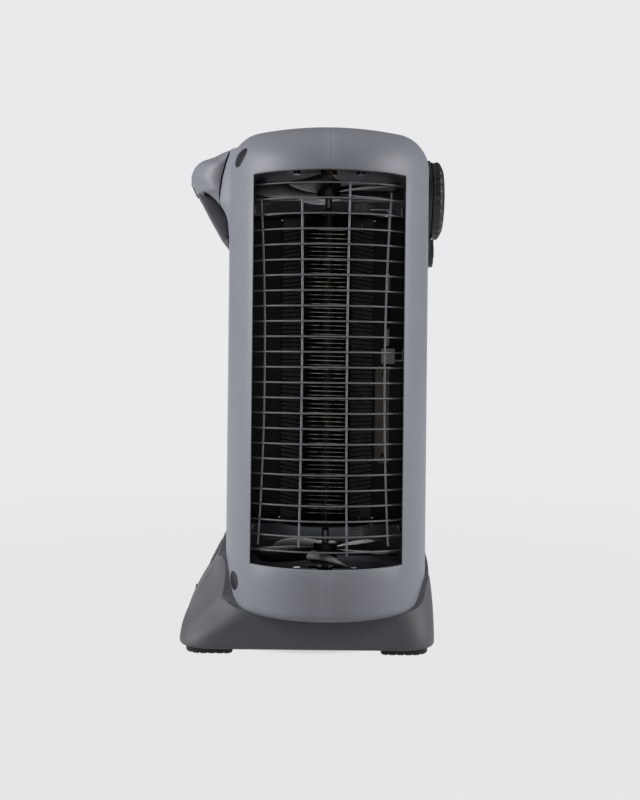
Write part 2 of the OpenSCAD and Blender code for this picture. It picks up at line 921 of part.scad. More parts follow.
// Tip-over switch: a housing on the base plate with the plunger through both
module tip_switch() {
    color(dark) placed()
        translate([tip_x, tip_y, plate_top])
            difference() {
                block([-9, -7.5, 0], [9, 7.5, 19]);
                translate([0, 0, -1])
                    cylinder(h = 18, r = collar_r + seat_gap);
            }
}
collar_r = plunger_r + 1.2;
plunger_travel = 6;

module tip_plunger() {
    color(ceramic) placed()
        translate([tip_x, tip_y, 0]) {
            translate([0, 0, 0.4])
                cylinder(h = plate_top + plunger_travel + 1, r = plunger_r);
            translate([0, 0, plate_top + plunger_travel + 0.3])
                cylinder(h = 2, r = collar_r);
        }
}

module terminal_block() {
    color(ceramic) placed()
        translate([-74, 30, plate_top])
            difference() {
                block([0, 0, 0], [14, 32, 12]);
                for (i = [0:2])
                    translate([7, 6 + i * 10, 5])
                        cylinder(h = 10, r = 2.6);
            }
}

// Shape of the control bezel: a disc with a tail below it
module bezel_shape(inset) {
    tail = dial_z - slider_z + 2;
    circle(r = dial_d / 2 + 1 - inset, $fn = 96);
    translate([0, -tail / 2])
        square([26 - 2 * inset, tail], center = true);
    translate([0, -tail])
        circle(r = 13 - inset);
}

module facing_front(x, h) {
    translate([x, 0, dial_z])
        rotate([90, 0, 90])
            linear_extrude(height = h)
                children();
}

module bezel_window() {
    facing_front(wall_x - 6, 30)
        bezel_shape(0);
}

module control_bezel() {
    tail = dial_z - slider_z;
    color(dark) placed()
        difference() {
            union() {
                facing_front(bezel_back, bezel_face - bezel_back)
                    bezel_shape(seat_gap);
                facing_front(bezel_back, front_x + 5.4 - bezel_back)
                    difference() {
                        bezel_shape(2);
                        translate([-far, -dial_d / 2 - 0.6])
                            square([2 * far, far]);
                    }
            }
            translate([0, 0, dial_z])
                rod_x(0, far, dial_shaft_d / 2 + run_gap);
            facing_front(0, far)
                translate([-3, -tail - 5 - slider_travel])
                    square([6, 10 + 2 * slider_travel]);
            translate([0, 8, slider_z - 2])
                rod_x(0, far, 2.2);
            translate([front_x + 2.2, 0, slider_z - 15])
                rotate([0, 45, 0])
                    block([-10, -20, -10], [10, 20, 0]);
        }
}

module pilot_lens() {
    color("#C8502A") placed()
        translate([0, 8, slider_z - 2])
            rod_x(bezel_back, front_x + 5.6, 2.1);
}

module mode_slider() {
    color(steel) placed()
        translate([0, 0, slider_z]) {
            block([wall_x - 8, -2.7, -4.7], [front_x + 6.6, 2.7, 4.7]);
        }
}

module mode_switch() {
    color(base_grey) placed()
        translate([0, 0, slider_z])
            difference() {
                block([wall_x - 12, -9, -9.5], [bezel_back - seat_gap, 9, 12]);
                block([wall_x - 8.3, -3, -5 - slider_travel], [far, 3, 5 + slider_travel]);
            }
}

module thermostat_dial() {
    r = dial_d / 2;
    color(dark) placed()
        translate([0, 0, dial_z])
            rotate([0, 90, 0])
                difference() {
                    union() {
                        rotate_extrude($fn = 96)
                            polygon([[0, dial_back], [r - 1.4, dial_back], [r - 0.8, dial_back + 0.8],
                                     [r - 0.8, dial_back + 5], [r - 3, dial_face - 3.2],
                                     [r - 5, dial_face - 0.8], [r - 7, dial_face], [0, dial_face]]);
                        translate([0, 0, dial_back + 0.9])
                            linear_extrude(height = 4)
                                for (i = [0:dial_ribs - 1])
                                    rotate(i * 360 / dial_ribs)
                                        translate([r - 1.8, -0.9])
                                            square([1.8, 1.8]);
                    }
                    translate([0, 0, dial_back - 1])
                        cylinder(h = 9, r = dial_shaft_d / 2);
                    translate([-r + 3, 0, dial_face - 0.6])
                        block([0, -1, 0], [16, 1, 2]);
                }
}

module dial_shaft() {
    color(steel) placed()
        translate([0, 0, dial_z])
            rod_x(wall_x - 9, dial_back + 8, dial_shaft_d / 2);
}

module thermostat() {
    color(sheet_grey) placed()
        translate([0, 0, dial_z])
            difference() {
                union() {
                    block([bezel_back - 2.3, -16, -11], [bezel_back - seat_gap, 22, 11]);
                    block([wall_x - 13, 4, -7], [bezel_back - 2.3, 18, 7]);
                    block([wall_x - 13, -14, -5], [wall_x - 11, 5, 5]);
                    rod_x(wall_x - 11, bezel_back - 2.3, 5);
                }
                rod_x(wall_x - 9.5, far, dial_shaft_d / 2 + run_gap);
            }
}

// Motor core: stacked sheets with the rotor's bore and the coil's window
core_y0 = -24;
core_y1 = 42;
leg = 7;
module motor_core() {
    color(sheet_grey) placed()
        translate([0, 0, core_z])
            difference() {
                linear_extrude(height = core_h)
                    difference() {
                        translate([-30, core_y0])
                            square([60, core_y1 - core_y0]);
                        circle(r = rotor_d / 2 + 0.4, $fn = 64);
                        translate([-18, core_y1 - leg - 16])
                            square([36, 16]);
                    }
                for (x = [-24, 24])
                    translate([x, 0, -1])
                        cylinder(h = far, r = 1.9);
            }
}

module motor_coil() {
    color(copper) placed()
        difference() {
            block([-15, core_y1 - leg - 6, core_z - 5], [15, core_y1 + 6, core_z + core_h + 5]);
            block([-16, core_y1 - leg - seat_gap, core_z - seat_gap],
                  [16, core_y1 + seat_gap, core_z + core_h + seat_gap]);
        }
}

module motor_rotor() {
    color(steel) placed()
        translate([0, 0, core_z - 1])
            difference() {
                cylinder(h = core_h + 2, r = rotor_d / 2, $fn = 64);
                translate([0, 0, -1])
                    cylinder(h = far, r = shaft_d / 2);
            }
}

// Bearing bar across the motor core, on two legs, with its boss
module bearing(up) {
    face = up ? core_z + core_h : core_z;
    translate([0, 0, face])
        mirror([0, 0, up ? 0 : 1])
            difference() {
                union() {
                    block([-29, -6, bearing_lift], [29, 6, bearing_lift + bearing_bar]);
                    translate([0, 0, bearing_lift - 1])
                        cylinder(h = bearing_bar + 4, r = 6.5);
                    for (x = [-24, 24])
                        translate([x, 0, 0])
                            cylinder(h = bearing_lift + eps, r = 4.5);
                }
                translate([0, 0, -1])
                    cylinder(h = far, r = shaft_d / 2 + run_gap);
                for (x = [-24, 24])
                    translate([x, 0, -1])
                        cylinder(h = far, r = 1.9);
            }
}

module lower_bearing() {
    color(sheet_grey) placed()
        bearing(false);
}

module upper_bearing() {
    color(sheet_grey) placed()
        bearing(true);
}

module motor_screws() {
    reach = bearing_lift + bearing_bar;
    color(steel) placed()
        for (x = [-24, 24])
            translate([x, 0, core_z - reach]) {
                cylinder(h = core_h + 2 * reach, r = 1.8);
                translate([0, 0, core_h + 2 * reach])
                    cylinder(h = 2, r = 3.2);
                translate([0, 0, -2])
                    cylinder(h = 2, r = 3.2);
            }
}

module drive_shaft() {
    low = core_z - bearing_lift - bearing_bar - 4;
    color(steel) placed()
        translate([0, 0, low])
            cylinder(h = top_bar_z + 4 - low, r = shaft_d / 2);
}

// One curved blade, from the hub outwards: radius, chord and pitch at each station
module blade() {
    tip = fan_d / 2;
    hub = 8;
    loft([for (s = [[0, 13, 40], [0.15, 20, 36], [0.35, 30, 30], [0.6, 39, 24], [0.82, 42, 20],
                    [0.94, 37, 18], [1, 24, 17]])
        let (r = hub + (tip - hub) * s[0], c = s[1] / 2, cb = cos(s[2]), sb = sin(s[2]), h = blade_t / 2,
             camber = 0.055 * s[1])
        [for (q = [[-c, -h], [-c / 2, camber * 0.75 - h], [0, camber - h], [c / 2, camber * 0.75 - h],
                   [c, -h], [c, h], [c / 2, camber * 0.75 + h], [0, camber + h],
                   [-c / 2, camber * 0.75 + h], [-c, h]])
            [sqrt(max(r * r - pow(q[0] * cb, 2), 1)) * (s[0] > 0 ? 1 : 1),
             q[0] * cb - q[1] * sb, q[0] * sb + q[1] * cb]]]);
}

module fan(up) {
    difference() {
        union() {
            translate([0, 0, -8])
                cylinder(h = 16, r = 10);
            mirror([0, 0, up ? 1 : 0])
                for (i = [0:blade_count - 1])
                    rotate([0, 0, 180 + i * 360 / blade_count])
                        blade();
        }
        translate([0, 0, -20])
            cylinder(h = 40, r = shaft_d / 2);
    }
}

module lower_fan() {
    color(sheet_grey) placed()
        translate([0, 0, lower_fan_z])
            rotate([0, 0, 20])
                fan(false);
}

module upper_fan() {
    color(sheet_grey) placed()
        translate([0, 0, upper_fan_z])
            fan(true);
}

// Bar under the roof that holds the top of the shaft
module top_bracket() {
    color(sheet_grey) placed()
        translate([0, 0, top_bar_z])
            difference() {
                block([-36, -9, 0], [36, 9, sheet_t]);
                translate([0, 0, -1])
                    cylinder(h = 4, r = 5);
                for (x = [-post_x, post_x])
                    translate([x, 0, -1])
                        cylinder(h = 4, r = 1.9);
            }
}

module top_bush() {
    color("#B08D57") placed()
        translate([0, 0, top_bar_z])
            difference() {
                union() {
                    translate([0, 0, -3])
                        cylinder(h = 6, r = 4.9);
                    translate([0, 0, -3])
                        cylinder(h = 3, r = 7);
                }
                translate([0, 0, -4])
                    cylinder(h = 10, r = shaft_d / 2 + run_gap);
            }
}

module bracket_screws() {
    color(steel) placed()
        for (x = [-post_x, post_x])
            translate([x, 0, top_bar_z]) {
                translate([0, 0, -2.4])
                    cylinder(h = 2.4, r = 3.2);
                cylinder(h = 10, r = 1.55);
            }
}

// Height of the heating wire where it crosses a board
function cross_z(k, j) =
    turns_high - (turns_high - turns_low) / turns * ((60 * k + 30) / 360 + j);

// Notched mica board number k, standing out from the core tube
module mica_board(k) {
    inner = core_d / 2 + seat_gap;
    edge = wire_r + coil_d / 2 + 1.2;
    deep = wire_r - coil_d / 2 - seat_gap - 0.2;
    tall = coil_d / 2 + 0.45;
    notches = [for (j = [0:turns - 1]) let (z = cross_z(k, j))
        each [[edge, z + tall + 0.8], [deep, z + tall], [deep, z - tall], [edge, z - tall - 0.8]]];
    rotate([0, 0, 60 * k])
        rotate([90, 0, 0])
            linear_extrude(height = board_t, center = true)
                polygon(concat([[inner, board_low], [inner, board_high], [edge, board_high]],
                               notches, [[edge, board_low]]));
}

module mica_boards() {
    color(mica) placed()
        for (k = [0:5])
            mica_board(k);
}

// Sheet spider across the end of the boards, with an arm to each shield
module spider(z, up) {
    disc = wire_r + 4;
    color(sheet_grey) placed()
        translate([0, 0, z])
            mirror([0, 0, up ? 0 : 1])
                difference() {
                    union() {
                        linear_extrude(height = sheet_t)
                            difference() {
                                union() {
                                    circle(r = disc, $fn = 64);
                                    square([2 * arm_x, arm_w], center = true);
                                }
                                difference() {
                                    circle(r = terminal_r - 7, $fn = 64);
                                    circle(r = core_d / 2 + 3);
                                    for (k = [0:2])
                                        rotate(60 * k)
                                            square([2 * disc, 5], center = true);
                                }
                                circle(r = core_d / 2 - 1.5);
                                rotate(terminal_a)
                                    translate([terminal_r, 0])
                                        circle(r = coil_d / 2 + 1);
                                for (k = [0:2])
                                    rotate(30 + 120 * k)
                                        translate([rod_r, 0])
                                            circle(r = 1.7);
                            }
                        for (x = [-arm_x, arm_x - sheet_t])
                            block([x, -arm_w / 2, 0], [x + sheet_t, arm_w / 2, tab_h]);
                    }
                }
}
rod_r = 28.5;

module upper_spider() {
    spider(board_high, true);
}

module lower_spider() {
    spider(board_low, false);
}

module core_tube() {
    color(ceramic) placed()
        translate([0, 0, board_low])
            difference() {
                cylinder(h = board_high - board_low, d = core_d);
                translate([0, 0, -1])
                    cylinder(h = far, d = core_d - 3);
            }
}

module tie_rods() {
    color(steel) placed()
        for (k = [0:2])
            rotate([0, 0, 30 + 120 * k])
                translate([rod_r, 0, board_low - sheet_t - 4]) {
                    cylinder(h = board_high - board_low + 2 * sheet_t + 8, r = 1.5);
                    translate([0, 0, 1.5])
                        cylinder(h = 2.5, r = 3, $fn = 6);
                    translate([0, 0, board_high - board_low + 2 * sheet_t + 4])
                        cylinder(h = 2.5, r = 3, $fn = 6);
                }
}

// Path of the heating wire: down from the upper terminal, round the boards, down to the lower one
function hex_r(a) = wire_r * cos(30) / cos(a - 60 * floor(a / 60) - 30);
function coil_point(a) =
    let (z = turns_high - (turns_high - turns_low) * (a - terminal_a) / (360 * turns))
    [hex_r(a) * cos(a), hex_r(a) * sin(a), z];
rings_per_turn = 24;
lead_x = terminal_r * cos(terminal_a);
lead_y = terminal_r * sin(terminal_a);
coil_path = concat(
    [[lead_x, lead_y, board_high + sheet_t], [lead_x, lead_y, turns_high + 2.2]],
    [for (i = [1:turns * rings_per_turn - 1]) coil_point(terminal_a + 360 * i / rings_per_turn)],
    [[lead_x, lead_y, turns_low - 2.2], [lead_x, lead_y, board_low - sheet_t]]);

function unit(v) = v / norm(v);

// Six-sided rings along a path that goes round the Z axis
function tube_ring(path, i, r, sides) =
    let (n = len(path) - 1,
         t = unit(path[min(i + 1, n)] - path[max(i - 1, 0)]),
         out = unit([path[i][0], path[i][1], 0]),
         u = unit(out - (out * t) * t),
         v = cross(t, u))
    [for (k = [0:sides - 1]) let (a = 360 * k / sides) path[i] + r * cos(a) * u + r * sin(a) * v];

module heating_wire() {
    color(steel) placed()
        loft([for (i = [len(coil_path) - 1:-1:0]) tube_ring(coil_path, i, coil_d / 2, 6)]);
}

// Least gap of the heating wire to itself, between points half a turn or more apart
coil_gap = min([for (i = [0:rings_per_turn], j = [i + rings_per_turn / 2:2 * rings_per_turn + 2])
    norm(coil_path[i] - coil_path[j])]) - coil_d;
echo(least_gap_of_heating_wire = coil_gap);

module terminal(z0, z1) {
    color(ceramic) placed()
        rotate([0, 0, terminal_a])
            difference() {
                block([terminal_r - 5, -6, z0], [terminal_r + 7, 6, z1]);
                translate([terminal_r + 2.5, 0, (z0 + z1) / 2])
                    rod_x(0, far, 1.5);
            }
}

module upper_terminal() {
    terminal(board_high + sheet_t, board_high + sheet_t + terminal_h);
}

module lower_terminal() {
    terminal(board_low - sheet_t - terminal_h, board_low - sheet_t);
}

// Sleeved lead with the thermal fuse, standing on the cut-out
fuse_x = 50;
fuse_y = -12;
cutout_z = board_high - 122;
cutout_h = 12.5;
fuse_line = 92;
fuse_top = cutout_z + cutout_h + fuse_line;
module at_fuse(z) {
    translate([fuse_x, fuse_y, z])
        children();
}

module thermal_cutout() {
    color(ceramic) placed()
        at_fuse(cutout_z) {
            block([-5, -6, 0], [6, 6, cutout_h]);
            block([6, -4, 2], [shield_x - shield_t / 2 - fuse_x, 4, 3.2]);
            block([shield_x - shield_t / 2 - fuse_x - 1, -4, 2], [shield_x - shield_t / 2 - fuse_x, 4, 12]);
        }
}

module thermal_fuse() {
    color(copper) placed()
        at_fuse(cutout_z + cutout_h) {
            cylinder(h = fuse_line, r = 0.7);
            translate([0, 0, 19])
                cylinder(h = 13, r = 2.2);
        }
}

module fuse_sleeves() {
    color(ceramic) placed()
        for (z = [cutout_z + 15, cutout_z + 61])
            at_fuse(z)
                difference() {
                    cylinder(h = 14, r = 2);
                    translate([0, 0, -1])
                        cylinder(h = 20, r = 0.75);
                }
}

// Lead from the upper terminal over to the top of the fuse
module element_lead() {
    z = board_high + sheet_t + terminal_h / 2;
    start = [(terminal_r + 7) * cos(terminal_a), (terminal_r + 7) * sin(terminal_a), z];
    color(steel) placed() {
        translate(start)
            rotate([0, 90, 0])
                cylinder(h = fuse_x - start[0], r = 0.9);
        translate([fuse_x, start[1], z])
            sphere(r = 0.9, $fn = 20);
        translate([fuse_x, start[1], z])
            rotate([-90, 0, 0])
                cylinder(h = fuse_y - start[1], r = 0.9);
        translate([fuse_x, fuse_y, z])
            sphere(r = 0.9, $fn = 20);
        translate([fuse_x, fuse_y, fuse_top])
            cylinder(h = z - fuse_top, r = 0.9);
    }
}

front_shell();
rear_shell();
casing_screws();
screw_plugs();
rear_handle();
handle_inner();
grip_well();
grip_strap();
handle_screw();
handle_plug();
right_grille();
left_grille();
front_heat_shield();
rear_heat_shield();
front_baffle();
rear_baffle();
wiring_guard();
base_housing();
base_plate();
rubber_feet();
base_screws();
front_vent();
rear_vent();
cord_gland();
tip_switch();
tip_plunger();
terminal_block();
control_bezel();
thermostat_dial();
dial_shaft();
thermostat();
mode_slider();
mode_switch();
pilot_lens();
motor_core();
motor_coil();
motor_rotor();
drive_shaft();
lower_bearing();
upper_bearing();
motor_screws();
lower_fan();
upper_fan();
top_bracket();
top_bush();
bracket_screws();
mica_boards();
upper_spider();
lower_spider();
core_tube();
tie_rods();
heating_wire();
upper_terminal();
lower_terminal();
thermal_fuse();
fuse_sleeves();
thermal_cutout();
element_lead();
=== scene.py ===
"""Fan heater with a heat outlet on each side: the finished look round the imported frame.

Lengths are in millimetres from the body's own axis, X to the front, Y to the left outlet and Z up,
and each piece is moved into the frame when its mesh is made.
"""
import bmesh
import bpy
import math
from mathutils import Matrix, Vector


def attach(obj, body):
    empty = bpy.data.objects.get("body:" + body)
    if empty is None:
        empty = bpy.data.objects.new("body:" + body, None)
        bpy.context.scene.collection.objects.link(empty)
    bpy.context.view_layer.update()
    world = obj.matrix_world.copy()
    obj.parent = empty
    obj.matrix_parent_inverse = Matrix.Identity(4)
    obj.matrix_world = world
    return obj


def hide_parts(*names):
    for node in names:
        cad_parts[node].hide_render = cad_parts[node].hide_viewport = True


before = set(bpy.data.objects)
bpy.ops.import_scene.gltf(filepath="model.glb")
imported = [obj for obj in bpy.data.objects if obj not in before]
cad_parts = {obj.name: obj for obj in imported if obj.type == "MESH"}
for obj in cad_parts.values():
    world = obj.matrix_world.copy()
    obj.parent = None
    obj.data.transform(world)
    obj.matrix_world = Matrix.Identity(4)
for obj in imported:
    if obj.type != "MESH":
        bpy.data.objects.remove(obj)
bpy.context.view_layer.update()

bl_info = {
    "name": "Fan heater",
    "version": (1, 0, 0),
    "blender": (4, 5, 0),
    "location": "View3D > Sidebar > Fan heater",
    "description": "Builds a tall fan heater with a heat outlet on each side",
    "category": "Object",
}

# The body's axis stands this far in front of the middle of the heater's box
BODY_X = 10.65
# Body: half depth, half width, place of the round ends, crown of the faces, roundings and wall
HALF_D, HALF_W, END_SHIFT = 78.5, 130.0, 51.5
FACE_CROWN, CROWN_SPAN, CROWN_FADE = 4.0, 74.675, 12.0
FLOOR_Z, FOOT_ROUND, TOP_ROUND, WALL = 30.0, 7.0, 22.0, 2.8
# Dome: height on the axis, and how far it falls to the ends and to the faces
DOME_Z, DOME_FALL_Y, DOME_FALL_X = 412.42, 30.0, 11.0
# Half the gap between the shells, and the gap between pieces that seat on each other
SEAM, FIT = 0.06, 0.3
# Outlets: half their width and the heights of their edges; inlet under the lower fan
OPEN_X, OPEN_LOW, OPEN_HIGH, INLET_R = 57.0, 69.0, 360.0, 58.0
NOSE_Z, DIAL_Z, SLIDER_Z = 372.0, 358.0, 315.0
SCREW_Y, SCREW_LOW, SCREW_HIGH = 86.0, 52.4, 376.0
SCREWS = [(side * SCREW_Y, z) for side in (-1, 1) for z in (SCREW_LOW, SCREW_HIGH)]
PLUG_RECESS_R, PLUG_R, SCREW_BORE_R, PILOT_R, NOSE_BORE_R = 7.3, 7.1, 2.2, 1.65, 1.7
GRILLE_BOW, GRILLE_MID, WIRE_END, WIRE_LOW, WIRE_HIGH = 100.0, 13.62, 61.0, 79.0, 353.5
TOP_BAR_Z, POST_X = 382.0, 27.0
# Element: radius and ends of the winding, heights of the boards, places of the terminals
COIL_R, COIL_TOP, COIL_LOW, BOARD_LOW, BOARD_HIGH = 37.0, 331.8, 96.8, 88.0, 342.0
TERMINAL_A, TERMINAL_R = -30.0, COIL_R * math.cos(math.radians(30))
# Degrees that the first blade of each fan stands round from the front
LOWER_PHASE, UPPER_PHASE = 200.0, 180.0
# Base: its corners' radius, posts for its screws, and the front and rear flare
CORNER_R, FRONT_FLARE, REAR_FLARE = 25.0, 2.7, 30.5
BASE_POSTS = [(x, y) for x in (-84, 62) for y in (-70, 70)]
# Height of the low and high edge of the vent on each side
VENT_Z = {1: (41, 56), -1: (53, 68)}
# Cutters reach at least this far
FAR = 300.0
PAPER = "EAEAEC"


# Sizes and colours

def length(name, description, default):
    return bpy.props.FloatProperty(name=name, description=description, default=default / 1000, unit='LENGTH')


def count(name, description, default, low):
    return bpy.props.IntProperty(name=name, description=description, default=default, min=low)


def colour(name, description, default):
    return bpy.props.StringProperty(name=name, description=description, default=default)


class FanHeaterSizes(bpy.types.PropertyGroup):
    wire_d: length("Bowed wire", "Diameter of the bowed wires of the grilles", 1.4)
    upright_d: length("Upright wire", "Diameter of the upright wires of the grilles", 1.6)
    wire_count: count("Bowed wires", "Bowed wires in each grille", 25, 3)
    upright_bow: length("Bow of the uprights", "How far the uprights bend in at mid height", 4.0)
    turns: count("Turns", "Turns of the heating wire", 66, 8)
    coil_d: length("Heating wire", "Diameter of the heating wire", 0.9)
    blades: count("Blades", "Blades of each fan", 5, 3)
    dial_ribs: count("Dial ribs", "Grip ribs round the dial", 26, 8)
    edge_round: length("Edge rounding", "Radius on the edges of the outlets", 0.7)


class FanHeaterColours(bpy.types.PropertyGroup):
    shell: colour("Shells", "Moulded casing, as sRGB hex", "8E919A")
    base: colour("Base", "Moulded base and grip strap, as sRGB hex", "5B5C61")
    dark: colour("Controls", "Dial, bezel and vents, as sRGB hex", "161618")
    plug: colour("Plugs", "Screw plugs, as sRGB hex", "1E1F25")
    wire: colour("Grille wire", "Plated grille wire, as sRGB hex", "7C7E82")
    # The mica boards' default colour is darkened nearly black as painted shade
    mica: colour("Mica boards", "Boards inside the winding, as sRGB hex", "221B17")
    lens: colour("Pilot lamp", "Lens of the pilot lamp, as sRGB hex", "B8431F")


def sizes():
    return bpy.context.scene.fan_heater_sizes


def colours():
    return bpy.context.scene.fan_heater_colours


# Materials

# The node for arithmetic and its operations
MATH = "ShaderNodeMath"
PLUS, MINUS, TIMES, OVER, POWER, ROOT, SINE, COSINE, MODULO, LARGER = (
    {"operation": name} for name in ('ADD', 'SUBTRACT', 'MULTIPLY', 'DIVIDE', 'POWER', 'SQRT', 'SINE',
                                     'COSINE', 'FLOORED_MODULO', 'MAXIMUM'))


def linear(hex_code, share=1.0):
    """sRGB hex to the linear colour that the shader takes, made lighter or darker by share."""
    parts = [int(hex_code[i:i + 2], 16) / 255 for i in (0, 2, 4)]
    parts = [c / 12.92 if c <= 0.04045 else ((c + 0.055) / 1.055) ** 2.4 for c in parts]
    return tuple(min(1.0, c * share) for c in parts) + (1.0,)


def add_node(tree, kind, settings=None, inputs=(), **named):
    """Adds a node: settings are its attributes, inputs and named its sockets' values or sources.

    The inputs come in order or by name. A source is a socket, or a node whose first output is meant."""
    made = tree.nodes.new(kind)
    for key, value in (settings or {}).items():
        setattr(made, key, value)
    given = dict(inputs if isinstance(inputs, dict) else enumerate(inputs))
    given.update({key.replace("_", " "): value for key, value in named.items()})
    for key, value in given.items():
        source = value.outputs[0] if isinstance(value, bpy.types.Node) else value
        if isinstance(source, bpy.types.NodeSocket):
            tree.links.new(source, made.inputs[key])
        else:
            made.inputs[key].default_value = source
    return made


def bare_tree(owner):
    """The emptied node tree of a material or a world."""
    owner.use_nodes = True
    owner.node_tree.nodes.clear()
    return owner.node_tree


def surface(name, base, rough, metallic=0.0, *, grain, mottle, swing=0.0, stretch=(1, 1, 1), wear=0.0,
            ior=None, coat=0.0, dark=None):
    """A surface whose grain, mottling and gloss come from noise on Object coordinates.

    The grain is its width and height, the mottling its strength and width, in millimetres."""
    material = bpy.data.materials.get(name)
    if material:
        return material
    material = bpy.data.materials.new(name)
    tree = bare_tree(material)
    shader = add_node(tree, "ShaderNodeBsdfPrincipled", Base_Color=linear(base), Roughness=rough,
                      Metallic=metallic)
    add_node(tree, "ShaderNodeOutputMaterial", inputs=(shader,))
    if ior:
        shader.inputs["IOR"].default_value = ior
    if coat:
        shader.inputs["Coat Weight"].default_value = coat
        shader.inputs["Coat Roughness"].default_value = 0.15
    place = add_node(tree, "ShaderNodeTexCoord").outputs["Object"]
    mapped = add_node(tree, "ShaderNodeMapping", Vector=place, Scale=stretch)
    broad = add_node(tree, "ShaderNodeTexNoise", Vector=mapped, Scale=1000 / mottle[1], Detail=3.0,
                     Roughness=0.55)
    ramp = add_node(tree, "ShaderNodeValToRGB", Fac=broad.outputs["Fac"])
    low, high = ramp.color_ramp.elements
    low.position, low.color = 0.3, linear(dark or base, 1 - mottle[0])
    high.position, high.color = 0.7, linear(base, 1 + mottle[0])
    tint = ramp.outputs[0]
    if wear:
        edge = add_node(tree, "ShaderNodeNewGeometry").outputs["Pointiness"]
        # Convex edges are rubbed a little paler
        rub = add_node(tree, "ShaderNodeMapRange", Value=edge, From_Min=0.52, From_Max=0.58, To_Max=wear)
        worn = add_node(tree, "ShaderNodeMix", {"data_type": 'RGBA'}, Factor=rub, A=tint, B=linear(base, 1.5))
        tint = worn.outputs["Result"]
    tree.links.new(tint, shader.inputs["Base Color"])
    if swing:
        gloss = add_node(tree, "ShaderNodeMapRange", Value=broad.outputs["Fac"], To_Min=rough - swing,
                         To_Max=rough + swing)
        tree.links.new(gloss.outputs[0], shader.inputs["Roughness"])
    fine = add_node(tree, "ShaderNodeTexNoise", Vector=mapped, Scale=1000 / grain[0], Detail=2.0,
                    Roughness=0.6).outputs["Fac"]
    bump = add_node(tree, "ShaderNodeBump", Strength=1.0, Distance=grain[1] / 1000, Height=fine)
    tree.links.new(bump.outputs[0], shader.inputs["Normal"])
    return material


def finishes():
    """Every finish of the heater, by name."""
    c = colours()
    return {
        # ABS, injection moulded against a spark-eroded tool: a fine satin grain that scatters light
        "shell": surface("moulded_abs_grey", c.shell, 0.46, grain=(0.9, 0.035), mottle=(0.025, 40),
                         swing=0.04, wear=0.25, ior=1.52),
        # The same resin in a darker grey, matter because its tool is coarser
        "base": surface("moulded_abs_dark_grey", c.base, 0.52, grain=(1.1, 0.045), mottle=(0.03, 35),
                        swing=0.05, wear=0.25, ior=1.52),
        # Polypropylene for the controls, a close matte texture
        "dark": surface("moulded_polypropylene_black", c.dark, 0.42, grain=(0.8, 0.03), mottle=(0.06, 12),
                        swing=0.06, wear=0.3, ior=1.49),
        # Polyethylene plugs, smoother than the shells and slightly waxy
        "plug": surface("moulded_polyethylene_plug", c.plug, 0.4, grain=(0.7, 0.02), mottle=(0.05, 6),
                        swing=0.05, ior=1.5),
        # Polyamide, the pale parts of the controls and terminals
        "pale": surface("moulded_polyamide_pale", "D9D6CC", 0.5, grain=(0.8, 0.02), mottle=(0.04, 8),
                        swing=0.05, ior=1.53),
        # Nitrile rubber: very matte, with a dusty mottle
        "rubber": surface("pressed_nitrile_rubber", "26262A", 0.82, grain=(0.7, 0.04), mottle=(0.12, 5),
                          swing=0.06, ior=1.52),
        # Steel wire, drawn and zinc plated, its skin dulled by heat to a soft even sheen
        "wire": surface("plated_drawn_wire", c.wire, 0.48, 0.6, grain=(1.2, 0.012), mottle=(0.12, 9),
                        swing=0.1),
        # Zinc plated steel for screws, shaft and rods
        "screw": surface("zinc_plated_steel", "A9ABAE", 0.34, 1.0, grain=(0.8, 0.01), mottle=(0.08, 4),
                         swing=0.08),
        # Aluminised sheet, rolled, its colour darkened nearly black as painted shade for the deep inside of
        # the heater
        "sheet": surface("sheet_steel_in_painted_shade", "201E1C", 0.55, 0.4, grain=(1.4, 0.01),
                         mottle=(0.25, 22), swing=0.1, stretch=(1, 1, 0.25), dark="151311"),
        # Stamped electrical sheet: a dark oxide over the edges of the stack
        "core": surface("stacked_electrical_sheet", "5C5B5A", 0.55, 0.9, grain=(0.5, 0.03),
                        mottle=(0.15, 5), stretch=(0.1, 0.1, 4), swing=0.08),
        # Aluminium blades, stamped and left unpainted, dulled by dust and heat
        "blade": surface("stamped_aluminium", "45464A", 0.5, 0.9, grain=(0.9, 0.01), mottle=(0.08, 14),
                         swing=0.08, stretch=(1, 0.3, 1)),
        # Nickel chrome resistance wire with a warm oxide
        "resistance": surface("oxidised_resistance_wire", "B4AFA5", 0.3, 1.0, grain=(0.7, 0.01),
                              mottle=(0.3, 7), swing=0.12, dark="4A4038"),
        # Pressed mica board in fine layers, toasted darker by the heat and made nearly black as painted shade
        # of the inside of the element
        "mica": surface("toasted_mica_board_with_painted_shade", c.mica, 0.48, grain=(1.3, 0.03), mottle=(0.35, 9), swing=0.14,
                        dark="14100E", ior=1.58),
        # The mica board that keeps the wiring off the element, cleaner and paler
        "guard": surface("pressed_mica_board_pale", "8C8578", 0.5, grain=(1.2, 0.03), mottle=(0.2, 11),
                         swing=0.12, ior=1.58),
        # Core tube and rods at the heart of the element, their colour made nearly black as painted shade
        "core_in_painted_shade": surface("steel_and_ceramic_in_painted_shade", "1E1A18", 0.6, grain=(0.9, 0.02), mottle=(0.3, 10),
                          swing=0.1, dark="0F0D0C", ior=1.55),
        # Steatite: a fired, unglazed ceramic
        "ceramic": surface("fired_steatite", "D6D0C4", 0.55, grain=(0.6, 0.02), mottle=(0.06, 5),
                           swing=0.06, ior=1.6),
        # Enamelled copper winding wire, its colour darkened nearly black as painted shade deep in the base
        "copper": surface("enamelled_copper_in_painted_shade", "2A1A12", 0.5, 0.6, grain=(0.6, 0.05), mottle=(0.2, 3),
                          stretch=(1, 1, 0.2), swing=0.1, coat=0.3),
        # Sintered bronze bush, open pored
        "bronze": surface("sintered_bronze", "A58254", 0.5, 1.0, grain=(0.5, 0.02), mottle=(0.12, 2),
                          swing=0.08),
        # Clear orange polycarbonate over the lamp
        "lens": surface("polished_polycarbonate_orange", c.lens, 0.15, grain=(1.5, 0.004), mottle=(0.08, 3),
                        ior=1.58, coat=0.5),
    }


# Meshes

def in_scene(name, data):
    made = bpy.data.objects.new(name, data)
    bpy.context.scene.collection.objects.link(made)
    return made


